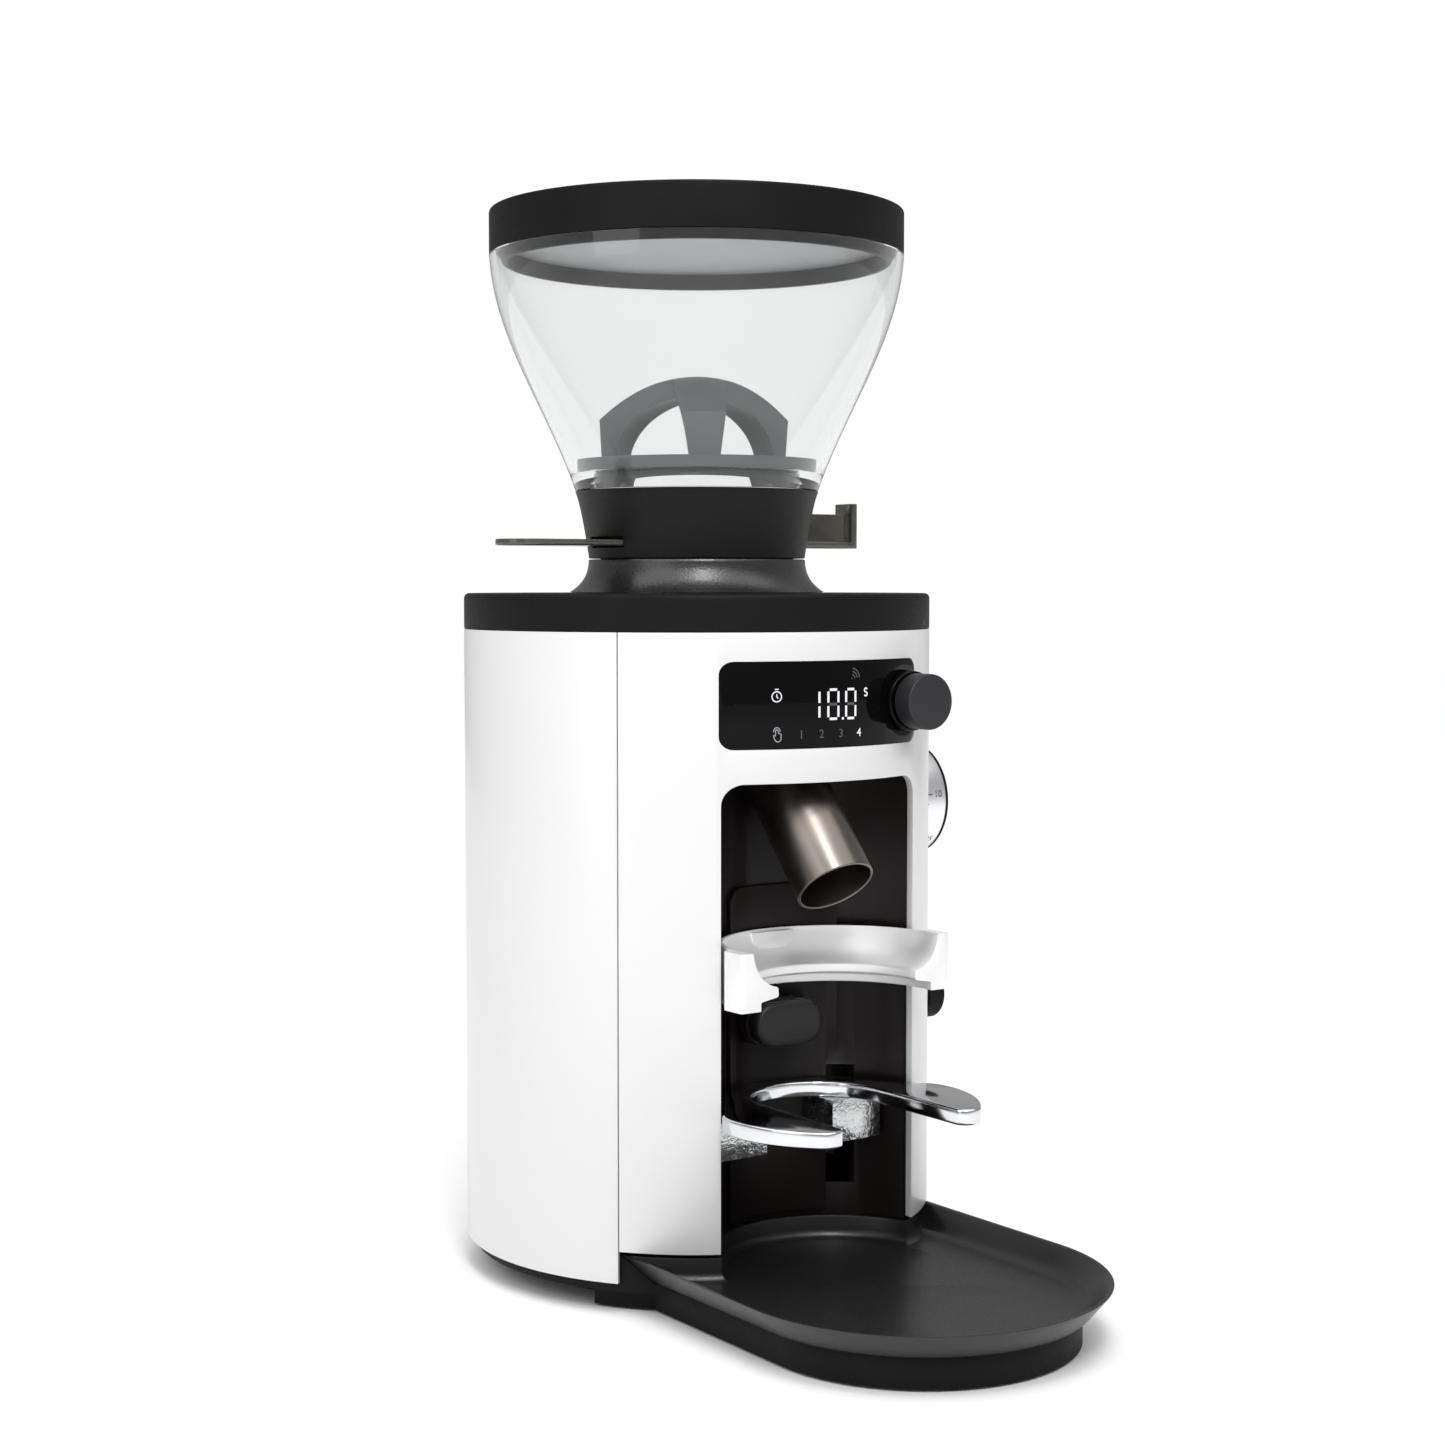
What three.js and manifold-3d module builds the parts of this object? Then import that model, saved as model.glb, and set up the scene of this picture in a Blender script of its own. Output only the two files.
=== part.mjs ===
// Burr coffee grinder with a display, a bean hopper and a drip tray.
// Millimetres, +Z up, the front towards -Y. The parts are drawn around the body's upright axis,
// and the finished group is moved so that the middle of its footprint is at the origin.
import * as THREE from 'three';
import { mergeVertices } from 'three/addons/utils/BufferGeometryUtils.js';
import Module from 'manifold-3d';

// Clearances
const GAP = 0.3; // between pieces that touch or nest
const SLIDE_GAP = 0.5; // between pieces that slide past each other

// Body
const BODY_RADIUS = 95;
const SHELL_BOTTOM = 12.5;
const PANEL_BOTTOM = 24.9;
const RECESS_TOP = 202.3;
const HEAD_HEIGHT = 56.7; // from the recess ceiling to the top of the white shells
const CAP_HEIGHT = 14.4;
const CAP_EDGE = 2.5;
const CAP_WALL = 3;
const REAR_WALL = 2;
const FRONT_WALL = 3;

// Portafilter recess
const RECESS_RADIUS = 49.3;
const RECESS_LIP = 2.95; // how far the front panel's edges stand into the recess
const RECESS_CORNER = 8;
const LINER_WALL = 2;
const RECESS_STEPS = 18; // curve steps per half turn, the same in everything that lines the recess

// Base and feet
const FOOT_GAP = 1;
const FOOT_HEIGHT = 2.5;
const FOOT_RADIUS = 9;
const BASE_INSET = 9; // from the body's side to the raised foot arcs
const BASE_ARC_DEPTH = 14; // radial depth of those arcs outside the waist
const BASE_ARC = 62; // half-angle of the raised foot arcs, front and rear
const BASE_WALL = 4;
const UPRIGHT_TOP = 24; // top of the base's upright rim inside the shells
const POST_SEAT = 16; // top of the sockets that the frame posts stand on

// Drip tray
const TRAY_HALF_WIDTH = 73.15;
const TRAY_TAPER = 8.85;
const TRAY_REACH = 45.6; // from the body's front line to the middle of the tray's round end
const TRAY_HEIGHT = 10.5;
const TRAY_WALL = 2;
const TRAY_FLOOR = 1.5;
const SUPPORT_INSET = 2.8; // of the base's arm below the tray's floor

// Display and control knob
const DISPLAY_HALF_WIDTH = 47.1;
const DISPLAY_LOW = 215.2;
const DISPLAY_HEIGHT = 33;
const DISPLAY_CORNER = 5;
const LENS_WALL = 2.4;
const KNOB_X = 38;
const KNOB_RADIUS = 10.8;
const KNOB_LENGTH = 9;
const KNOB_TRAVEL = 1;
const BEZEL_RADIUS = 11.7;
const BEZEL_PROUD = 6; // how far the bezel stands out from the lens at the knob's middle

// Hopper
const NECK_RADIUS = 44.3;
const NECK_HEIGHT = 13.6;
const COLLAR_HEIGHT = 27.3;
const COLLAR_FLARE = 5.3; // how much wider the collar is at its top
const HOPPER_RADIUS = 84.1;
const HOPPER_HEIGHT = 94.6; // above the collar
const HOPPER_WALL = 2.6;
const LID_HEIGHT = 17.6;
const LID_PLUG_DEPTH = 3.5;
const THROAT_RADIUS = 12; // opening that the gate closes
const GATE_THICKNESS = 2.5;
const GATE_TRAVEL = 25;
const GATE_MARGIN = 2; // blade beyond its hole, ahead and to the sides
const GUARD_RADIUS = 41.5;
const GUARD_BAR = 10.6;
const GUARD_LEGS = 3;
const GUARD_LEG_DEPTH = 7;
const GUARD_RISE = 34;

// Burrs, motor and shaft
const BURR_RADIUS = 27;
const BURR_HEIGHT = 5.5;
const BURR_GAP = 1;
const CHAMBER_RADIUS = 44;
const SHAFT_RADIUS = 5;
const BEARING_RADIUS = 11;
const MOTOR_LOW = 64;
const MOTOR_WALL = 3;
const ROTOR_RADIUS = 24;
const POST_RADIUS = 4;
const POST_INSET = 16.5; // from the body's side to the circle of posts

// Spout
const SPOUT_RADIUS = 15.5;
const SPOUT_WALL = 1;
const SPOUT_TILT = 40;

// Grind adjustment
const DIAL_RADIUS = 24;
const DIAL_OUT = 19; // drum length outside the shell
const RING_TEETH = 48;
const PINION_TEETH = 8;
const TOOTH_MODULE = 1.58;

// Portafilter bracket and fork
const BRACKET_LOW = 119.2;
const BRACKET_HEIGHT = 21.9;
const BRACKET_DEPTH = 13.55; // from the recess's opening to the bracket's inner lip
const FORK_TOP = 79.8;
const FORK_THICKNESS = 6.2;
const FORK_ARM = 18.85; // from the recess's opening to the fork's slot
const FORK_DOWN = 20;
const FORK_UP = 12;
const BUTTON_Z = 105;
const BUTTON_WIDTH = 32;
const BUTTON_HEIGHT = 18;
const BUTTON_TRAVEL = 3.5;
const CLAMP_BEHIND = 19.7; // from the recess's back wall to the clamp's screw
const CLAMP_Z = 102.5;
const CLAMP_RADIUS = 11;

// Heights and places that follow from the sizes above
const SHELL_TOP = RECESS_TOP + HEAD_HEIGHT;
const CAP_TOP = SHELL_TOP + CAP_HEIGHT;
const NECK_TOP = CAP_TOP + NECK_HEIGHT;
const COLLAR_LOW = NECK_TOP + SLIDE_GAP;
const COLLAR_TOP = COLLAR_LOW + COLLAR_HEIGHT;
const HOPPER_TOP = COLLAR_TOP + HOPPER_HEIGHT;
const LID_LOW = HOPPER_TOP + GAP;
const RECESS_Y = -BODY_RADIUS; // middle of the recess, on the body's front line
const RECESS_HALF_WIDTH = RECESS_RADIUS - RECESS_LIP;
const BASE_RADIUS = BODY_RADIUS - BASE_INSET;
const BASE_WAIST = BASE_RADIUS - BASE_ARC_DEPTH;
const POST_CIRCLE = BODY_RADIUS - POST_INSET;
const TRAY_CENTRE_Y = -BODY_RADIUS - TRAY_REACH;
const SUPPORT_HALF_WIDTH = TRAY_HALF_WIDTH - TRAY_TAPER - SUPPORT_INSET;
const SEAM_X = TRAY_HALF_WIDTH + 2.4; // the front panel is a little wider than the tray below it
const SEAM_ANGLE = THREE.MathUtils.radToDeg(Math.asin(SEAM_X / BODY_RADIUS)); // from straight ahead
const COLLAR_TOP_RADIUS = NECK_RADIUS + COLLAR_FLARE;
const BRACKET_LIP = RECESS_HALF_WIDTH - BRACKET_DEPTH;
const FORK_SLOT = RECESS_HALF_WIDTH - FORK_ARM;
const RECESS_BACK = BODY_RADIUS - RECESS_RADIUS;
const CLAMP_Y = CLAMP_BEHIND - RECESS_BACK;
const TRAY_LOW = SHELL_BOTTOM + 0.1;
const TRAY_BACK = BODY_RADIUS - FRONT_WALL - 1;
const TRAY_TONGUE = RECESS_RADIUS - SLIDE_GAP;
const CHAMBER_LOW = RECESS_TOP + 6;
const CHAMBER_TOP = SHELL_TOP + GAP;
const BURR_PLANE = CHAMBER_LOW + 18; // top of the lower burr
const MOTOR_TOP = RECESS_TOP - 32.3;
const MOTOR_RADIUS = RECESS_BACK - LINER_WALL - 6.7;
const DIAL_Z = RECESS_TOP - 18.8;
const SPOUT_TOP_Z = CHAMBER_LOW + 15;
const SPOUT_LENGTH = (BODY_RADIUS - 2 - CHAMBER_RADIUS + 2.4) / Math.sin(THREE.MathUtils.degToRad(SPOUT_TILT));
const GATE_Z = COLLAR_LOW + 4.6;

// Finishes
const finish = (color, roughness, metalness = 0) =>
  new THREE.MeshStandardMaterial({ color, roughness, metalness });
const WHITE = finish(0xf4f4f3, 0.35);
const BLACK = finish(0x1c1c1d, 0.55);
const RUBBER = finish(0x141414, 0.9);
const GREY = finish(0x6a6e70, 0.5);
const GLOSS_BLACK = finish(0x050505, 0.08);
const CLEAR = finish(0xeef1f1, 0.05);
const SMOKE = finish(0x4a4a46, 0.1);
const CHROME = finish(0xd8d9db, 0.15, 1);
const NICKEL = finish(0x77726c, 0.18, 1);
const STEEL = finish(0xa6a8aa, 0.35, 1);
const CAST = finish(0xb4b6b8, 0.5, 1);
const COPPER = finish(0x8c5a36, 0.4, 1);
const BOARD = finish(0x1d5a35, 0.5);

const wasm = await Module();
wasm.setup();
const rad = THREE.MathUtils.degToRad;
const point = (x, y) => new THREE.Vector2(x, y);

// A geometry as a solid: shared vertices merged, flat slivers dropped, faces pointing out.
function solid(geometry) {
  const bare = new THREE.BufferGeometry();
  bare.setAttribute('position', geometry.getAttribute('position'));
  bare.setIndex(geometry.index);
  const merged = mergeVertices(bare, 1e-3);
  const corners = merged.index.array;
  const kept = [];
  for (let i = 0; i < corners.length; i += 3) {
    const [a, b, c] = [corners[i], corners[i + 1], corners[i + 2]];
    if (a !== b && b !== c && a !== c) kept.push(a, b, c);
  }
  const build = (triVerts) =>
    new wasm.Manifold(
      new wasm.Mesh({
        numProp: 3,
        vertProperties: new Float32Array(merged.attributes.position.array),
        triVerts: new Uint32Array(triVerts),
      }),
    );
  const made = build(kept);
  return made.volume() < 0 ? build(kept.reverse()) : made;
}

function shapeOf(manifold) {
  const { vertProperties, triVerts } = manifold.getMesh();
  const geometry = new THREE.BufferGeometry();
  geometry.setAttribute('position', new THREE.BufferAttribute(new Float32Array(vertProperties), 3));
  geometry.setIndex(new THREE.BufferAttribute(new Uint32Array(triVerts), 1));
  return geometry;
}

const join = (first, ...more) =>
  shapeOf(more.reduce((sum, piece) => sum.add(solid(piece)), solid(first)));
const cut = (first, ...tools) =>
  shapeOf(tools.reduce((rest, tool) => rest.subtract(solid(tool)), solid(first)));
const common = (a, b) => shapeOf(solid(a).intersect(solid(b)));

// An outline pushed up from one height to another.
function slab(outline, low, high, curveSegments = 12) {
  const geometry = new THREE.ExtrudeGeometry(outline, {
    depth: high - low,
    bevelEnabled: false,
    curveSegments,
  });
  return geometry.translate(0, 0, low);
}

// The same outline, drawn in X and Z, pushed from one Y to another.
const slabY = (outline, near, far, curveSegments = 12) =>
  slab(outline, 0, far - near, curveSegments).rotateX(Math.PI / 2).translate(0, far, 0);

// A closed profile of [radius, height] points turned about the upright axis.
function turned(profile, segments = 32) {
  const points = profile.map(([r, z]) => point(r, z));
  points.push(points[0].clone());
  return new THREE.LatheGeometry(points, segments).rotateX(Math.PI / 2);
}

const box = (x0, x1, y0, y1, z0, z1) =>
  new THREE.BoxGeometry(x1 - x0, y1 - y0, z1 - z0).translate((x0 + x1) / 2, (y0 + y1) / 2, (z0 + z1) / 2);
const rod = (radius, low, high, segments = 20) =>
  new THREE.CylinderGeometry(radius, radius, high - low, segments)
    .rotateX(Math.PI / 2)
    .translate(0, 0, (low + high) / 2);
const rodX = (radius, x0, x1, segments = 20) => rod(radius, x0, x1, segments).rotateY(Math.PI / 2);
const rodY = (radius, y0, y1, segments = 20) => rod(radius, -y1, -y0, segments).rotateX(Math.PI / 2);
const ring = (outer, inner, low, high, segments = 24) =>
  turned([[inner, low], [outer, low], [outer, high], [inner, high]], segments);

function disc(radius, y = 0) {
  return new THREE.Shape().absarc(0, y, radius, 0, 2 * Math.PI);
}

// A curved wall seen from above, between two angles counted from straight ahead towards +X.
function arcWall(outer, inner, from, to) {
  const shape = new THREE.Shape();
  shape.absarc(0, 0, outer, rad(from - 90), rad(to - 90), false);
  shape.absarc(0, 0, inner, rad(to - 90), rad(from - 90), true);
  return shape;
}

// A rectangle with rounded corners around a middle point.
function rounded(width, height, corner, x = 0, y = 0) {
  const [w, h] = [width / 2 - corner, height / 2 - corner];
  const shape = new THREE.Shape();
  shape.absarc(x + w, y - h, corner, -Math.PI / 2, 0);
  shape.absarc(x + w, y + h, corner, 0, Math.PI / 2);
  shape.absarc(x - w, y + h, corner, Math.PI / 2, Math.PI);
  shape.absarc(x - w, y - h, corner, Math.PI, 1.5 * Math.PI);
  return shape;
}

const curve = (start, control, end, steps) =>
  new THREE.QuadraticBezierCurve(point(...start), point(...control), point(...end))
    .getPoints(steps)
    .map((p) => [p.x, p.y]);

const grinder = new THREE.Group();

function add(name, geometry, material) {
  const mesh = new THREE.Mesh(geometry, material);
  mesh.name = name;
  grinder.add(mesh);
}

// ---------------------------------------------------------------- base, feet and tray

// Room that the tray takes: a bowl with a round front that narrows towards its floor, kept clear
// of the body in front and with a tongue that fills the recess. Inset shrinks it all round.
function traySpace(inset, low, high) {
  const halfAt = (z) => TRAY_HALF_WIDTH - TRAY_TAPER * (1 - (z - TRAY_LOW) / TRAY_HEIGHT) - inset;
  const bowl = new THREE.CylinderGeometry(halfAt(high), halfAt(low), high - low, 64)
    .rotateX(Math.PI / 2)
    .translate(0, TRAY_CENTRE_Y, (low + high) / 2);
  const section = new THREE.Shape([
    point(-halfAt(low), low),
    point(halfAt(low), low),
    point(halfAt(high), high),
    point(-halfAt(high), high),
  ]);
  const sides = slabY(section, TRAY_CENTRE_Y, 0);
  const body = rod(TRAY_BACK + inset, low - 1, high + 1, 48);
  const tongue = slab(disc(TRAY_TONGUE - inset, RECESS_Y), low, high, RECESS_STEPS);
  return join(cut(join(bowl, sides), body), tongue);
}

// Room that the recess's lining takes.
function recessRoom(low, high) {
  return slab(disc(RECESS_RADIUS + LINER_WALL + GAP, RECESS_Y), low, high, RECESS_STEPS);
}

function basePan() {
  const arc = (middle) =>
    slab(arcWall(BASE_RADIUS, BASE_WAIST - 10, middle - BASE_ARC, middle + BASE_ARC),
      FOOT_GAP, SHELL_BOTTOM, 12);
  const support = (half) => {
    const shape = new THREE.Shape([point(half, 0), point(half, TRAY_CENTRE_Y)]);
    shape.absarc(0, TRAY_CENTRE_Y, half, 0, -Math.PI, true);
    shape.lineTo(-half, 0);
    return shape;
  };
  const low = join(
    slab(disc(BASE_WAIST), FOOT_GAP, SHELL_BOTTOM),
    arc(0),
    arc(180),
    slab(support(SUPPORT_HALF_WIDTH), FOOT_GAP, TRAY_LOW - GAP, 20),
  );
  const upright = rod(BODY_RADIUS - FRONT_WALL - GAP, SHELL_BOTTOM - 4, UPRIGHT_TOP, 48);
  const inside = cut(
    join(
      rod(BASE_RADIUS - 2, SHELL_BOTTOM, UPRIGHT_TOP + 1, 40),
      rod(BASE_WAIST - BASE_WALL, FOOT_GAP + BASE_WALL, SHELL_BOTTOM + 1, 40),
    ),
    slab(disc(RECESS_RADIUS + LINER_WALL + 4, RECESS_Y), 0, UPRIGHT_TOP + 2),
    box(-BODY_RADIUS, BODY_RADIUS, -BODY_RADIUS, -BASE_WAIST + 6, 0, UPRIGHT_TOP + 2),
  );
  const trayRoom = traySpace(-GAP, TRAY_LOW - GAP, UPRIGHT_TOP + 1);
  const linerRoom = recessRoom(TRAY_LOW - GAP, UPRIGHT_TOP + 1);
  const pocket = slab(support(SUPPORT_HALF_WIDTH - BASE_WALL), 0, TRAY_LOW - GAP - BASE_WALL, 20);
  const underside = cut(
    pocket,
    box(-BODY_RADIUS, BODY_RADIUS, -BODY_RADIUS - 5, 5, -1, SHELL_BOTTOM),
    ...FEET.map(([x, y]) => rod(FOOT_RADIUS + BASE_WALL, -1, SHELL_BOTTOM).translate(x, y, 0)),
  );
  const footHoles = FEET.map(([x, y]) =>
    rod(FOOT_RADIUS + GAP, 0, FOOT_HEIGHT + GAP).translate(x, y, 0));
  const posts = POSTS.map(([x, y]) => rod(POST_RADIUS + 3, FOOT_GAP + 1, POST_SEAT).translate(x, y, 0));
  return cut(join(cut(join(low, upright), inside), ...posts), trayRoom, linerRoom, underside, ...footHoles);
}

const around = (radius, degrees) => [radius * Math.sin(rad(degrees)), -radius * Math.cos(rad(degrees))];
const FEET = [
  [SUPPORT_HALF_WIDTH * 0.68, TRAY_CENTRE_Y - 24],
  [-SUPPORT_HALF_WIDTH * 0.68, TRAY_CENTRE_Y - 24],
  around(BASE_RADIUS - 14, 140),
  around(BASE_RADIUS - 14, -140),
];
const POSTS = [112, 180, 248].map((degrees) => around(POST_CIRCLE, degrees));

const rubberFoot = () => rod(FOOT_RADIUS, 0, FOOT_HEIGHT);

function dripTray() {
  const top = TRAY_LOW + TRAY_HEIGHT;
  return cut(traySpace(0, TRAY_LOW, top), traySpace(TRAY_WALL, TRAY_LOW + TRAY_FLOOR, top + 1));
}

// ---------------------------------------------------------------- frame inside the body

const PLATE_RADIUS = BODY_RADIUS - FRONT_WALL - SLIDE_GAP;
const POST_TOP = CHAMBER_LOW - 3.3;

function framePost([x, y]) {
  return rod(POST_RADIUS, POST_SEAT + GAP, POST_TOP, 20).translate(x, y, 0);
}

function motorPlate() {
  return cut(
    slab(disc(PLATE_RADIUS), MOTOR_TOP + GAP, MOTOR_TOP + GAP + 3, 32),
    recessRoom(MOTOR_TOP, MOTOR_TOP + 4),
    rod(BEARING_RADIUS + 8, MOTOR_TOP, MOTOR_TOP + 4),
    ...POSTS.map(([x, y]) => rod(POST_RADIUS + GAP, MOTOR_TOP, MOTOR_TOP + 4).translate(x, y, 0)),
    box(CARRIAGE_X - 6, BODY_RADIUS, -BODY_RADIUS, CLAMP_Y + 14, MOTOR_TOP, MOTOR_TOP + 4),
  );
}

function chamberPlate() {
  return cut(
    slab(disc(PLATE_RADIUS), POST_TOP + GAP, CHAMBER_LOW - GAP, 32),
    rod(BEARING_RADIUS + 8, POST_TOP, CHAMBER_LOW),
    spoutRod(SPOUT_RADIUS + 2),
  );
}

// ---------------------------------------------------------------- spout

const SPOUT_RISE = SPOUT_LENGTH * Math.cos(rad(SPOUT_TILT));
const MOUTH = [0, -BODY_RADIUS + 2, SPOUT_TOP_Z - SPOUT_RISE];
const alongSpout = (geometry) => geometry.rotateX(-rad(SPOUT_TILT)).translate(...MOUTH);
const spoutRod = (radius, from = 0, to = SPOUT_LENGTH + 22) => alongSpout(rod(radius, from, to, 32));
const spout = () => alongSpout(ring(SPOUT_RADIUS, SPOUT_RADIUS - SPOUT_WALL, 0, SPOUT_LENGTH, 32));

// ---------------------------------------------------------------- shells

const DIAL_HOLE = SHAFT_RADIUS + 1;
const VENT = { count: 7, low: 70, pitch: 9, height: 3.5, halfWidth: 30 };

function rearShell() {
  const wall = slab(
    arcWall(BODY_RADIUS, BODY_RADIUS - REAR_WALL, SEAM_ANGLE + 0.2, 359.8 - SEAM_ANGLE),
    SHELL_BOTTOM, SHELL_TOP, 20,
  );
  const vents = Array.from({ length: VENT.count }, (_, i) =>
    box(-VENT.halfWidth, VENT.halfWidth, BODY_RADIUS - 12, BODY_RADIUS + 5, 0, VENT.height)
      .translate(0, 0, VENT.low + VENT.pitch * i));
  return cut(
    wall,
    rodX(DIAL_HOLE, 0, BODY_RADIUS + 10).translate(0, 0, DIAL_Z),
    rodX(POST_RADIUS, 0, BODY_RADIUS + 10).translate(0, CLAMP_Y, CLAMP_Z),
    rearWindow(INLET, GAP),
    rearWindow(ROCKER, GAP),
    ...vents,
  );
}

const recessOpening = () => {
  const low = PANEL_BOTTOM - 20;
  const outline = rounded(2 * RECESS_HALF_WIDTH, RECESS_TOP - low, RECESS_CORNER, 0, (RECESS_TOP + low) / 2);
  return slabY(outline, -BODY_RADIUS - 5, -BODY_RADIUS / 2, 6);
};

const displayOutline = (grow) =>
  rounded(2 * (DISPLAY_HALF_WIDTH + grow), DISPLAY_HEIGHT + 2 * grow, DISPLAY_CORNER + grow, 0,
    DISPLAY_LOW + DISPLAY_HEIGHT / 2);
const KNOB_Z = DISPLAY_LOW + DISPLAY_HEIGHT / 2;
const KNOB_LENS_Y = -Math.sqrt(BODY_RADIUS ** 2 - KNOB_X ** 2);
const BEZEL_FRONT = KNOB_LENS_Y - BEZEL_PROUD;
const bezelHole = () =>
  rodY(BEZEL_RADIUS + GAP, -BODY_RADIUS - 20, -BODY_RADIUS / 2).translate(KNOB_X, 0, KNOB_Z);

function frontPanel() {
  const wall = slab(
    arcWall(BODY_RADIUS, BODY_RADIUS - FRONT_WALL, -SEAM_ANGLE, SEAM_ANGLE), PANEL_BOTTOM, SHELL_TOP, 12);
  const window = slabY(displayOutline(0), -BODY_RADIUS - 5, -BODY_RADIUS / 2, 6);
  return cut(wall, recessOpening(), window, bezelHole());
}

function topCap() {
  const top = CAP_TOP;
  const hole = NECK_RADIUS + 7.2;
  return turned([
    [BODY_RADIUS, SHELL_TOP + GAP],
    ...curve([BODY_RADIUS, top - CAP_EDGE], [BODY_RADIUS, top], [BODY_RADIUS - CAP_EDGE, top], 3),
    [hole, top],
    [hole, top - CAP_WALL],
    [BODY_RADIUS - CAP_WALL - 1, top - CAP_WALL],
    [BODY_RADIUS - CAP_WALL - 1, SHELL_TOP + GAP],
  ], 48);
}

// ---------------------------------------------------------------- recess

function recessLiner() {
  const low = SHELL_BOTTOM + GAP;
  const top = RECESS_TOP + LINER_WALL;
  const inBody = rod(BODY_RADIUS - FRONT_WALL - GAP, low, top, 96);
  const block = slab(disc(RECESS_RADIUS + LINER_WALL, RECESS_Y), low, top, RECESS_STEPS);
  const room = slab(disc(RECESS_RADIUS, RECESS_Y), low - 1, RECESS_TOP, RECESS_STEPS);
  return cut(
    common(block, inBody),
    room,
    spoutRod(SPOUT_RADIUS + 1),
    buttonHole(GAP),
    traySpace(-GAP, TRAY_LOW - 1, TRAY_LOW + TRAY_HEIGHT + 1),
    ...armSlots(FORK_ARM_Z - FORK_DOWN - 8),
  );
}

// Slots that the carriage's arms run in, from a height up to the fork's highest place.
const armSlots = (low) =>
  [-FORK_ARM_X, FORK_ARM_X].map((x) =>
    box(x - 5, x + 5, -BODY_RADIUS + 20, -RECESS_BACK, low, FORK_ARM_Z + FORK_UP + 8));

const COVER_WALL = 1.7;
const COVER_HEIGHT = 132;
const COVER_RIGHT = 37; // degrees that the cover reaches round the recess's back
const COVER_LEFT = 25;
const COVER_OUT = RECESS_RADIUS - GAP;
const COVER_IN = COVER_OUT - COVER_WALL;

function serviceCover() {
  const outline = new THREE.Shape();
  const [right, left] = [rad(90 - COVER_RIGHT), rad(90 + COVER_LEFT)];
  outline.absarc(0, RECESS_Y, COVER_OUT, right, left, false);
  outline.absarc(0, RECESS_Y, COVER_IN, left, right, true);
  const door = slab(outline, PANEL_BOTTOM + 1, PANEL_BOTTOM + 1 + COVER_HEIGHT, 12);
  return cut(door, buttonHole(GAP), ...armSlots(PANEL_BOTTOM));
}

// Start button: a pill-shaped cap on a guided stem in a pill-shaped housing.
const pill = (width, height) => rounded(width, height, height / 2 - 0.01, 0, BUTTON_Z);
const HOUSING_FRONT = -RECESS_BACK - 11.5;
const HOUSING_BACK = -RECESS_BACK + LINER_WALL + GAP;
const buttonHole = (grow) =>
  slabY(pill(BUTTON_WIDTH + 2 * grow, BUTTON_HEIGHT + 2 * grow), HOUSING_FRONT - 20, HOUSING_BACK + 2, 4);

function buttonHousing() {
  const body = slabY(pill(BUTTON_WIDTH, BUTTON_HEIGHT), HOUSING_FRONT, HOUSING_BACK, 4);
  const well = slabY(pill(BUTTON_WIDTH - 4, BUTTON_HEIGHT - 4), HOUSING_FRONT - 1, HOUSING_BACK - 1.5, 4);
  return cut(body, well);
}

function startButton() {
  const capBack = HOUSING_FRONT - BUTTON_TRAVEL - SLIDE_GAP;
  const cap = slabY(pill(BUTTON_WIDTH, BUTTON_HEIGHT), capBack - 4, capBack, 4);
  const stem = slabY(pill(BUTTON_WIDTH - 5, BUTTON_HEIGHT - 5), capBack - 1, HOUSING_FRONT + 2.6, 4);
  return join(cap, stem);
}

const startSwitch = () =>
  box(-8, 8, HOUSING_BACK - 4.5, HOUSING_BACK - 1.8, BUTTON_Z - 5, BUTTON_Z + 5);

// Portafilter bracket: a C-shaped half funnel, open to the front, with two squared ears.
function bracketSection(outer) {
  const high = BRACKET_LOW + BRACKET_HEIGHT;
  return [
    [outer, BRACKET_LOW],
    [outer, high],
    [outer - 2, high],
    [BRACKET_LIP + 0.3, BRACKET_LOW + 8.4],
    [BRACKET_LIP, BRACKET_LOW + 4.8],
    [BRACKET_LIP + 8.1, BRACKET_LOW + 3.4],
    [outer - 5, BRACKET_LOW],
  ];
}

const BRACKET_RADIUS = RECESS_HALF_WIDTH - SLIDE_GAP;
const BRACKET_FRONT = RECESS_Y - 6;
const EAR_BACK = RECESS_Y + 8.5;
const EAR_OUT = RECESS_HALF_WIDTH + 3.5;

function bracket() {
  const bowl = turned(bracketSection(BRACKET_RADIUS), 48).translate(0, RECESS_Y, 0);
  const rear = common(bowl, box(-60, 60, RECESS_Y, 0, 0, RECESS_TOP));
  const arms = [1, -1].map((side) => {
    const section = bracketSection(BRACKET_RADIUS).map(([x, z]) => point(side * x, z));
    return slabY(new THREE.Shape(section), BRACKET_FRONT, RECESS_Y + 0.01);
  });
  const ears = [1, -1].map((side) => {
    const [x0, x1] = [side * (BRACKET_RADIUS - 1.5), side * EAR_OUT].sort((a, b) => a - b);
    return box(x0, x1, BRACKET_FRONT, EAR_BACK - 3, BRACKET_LOW, BRACKET_LOW + BRACKET_HEIGHT);
  });
  const lug = box(-10, 10, -RECESS_BACK - 6, -RECESS_BACK, BRACKET_LOW + 12, BRACKET_LOW + BRACKET_HEIGHT - 1);
  const lugEnd = slab(disc(COVER_IN - GAP, RECESS_Y), 0, RECESS_TOP, RECESS_STEPS);
  return join(rear, ...arms, ...ears, common(lug, lugEnd));
}

// Fork: a forked plate on two legs, with an arm behind each leg that reaches through the liner.
const FORK_ARM_X = FORK_SLOT + 2.5;
const LEG_WIDTH = 24;
const LEG_HEIGHT = 17;
const FORK_ARM_Z = FORK_TOP - FORK_THICKNESS - 9.6;
const FORK_BACK_RADIUS = COVER_IN - SLIDE_GAP;
const CARRIAGE_X = RECESS_RADIUS + LINER_WALL + 6.7;

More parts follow.
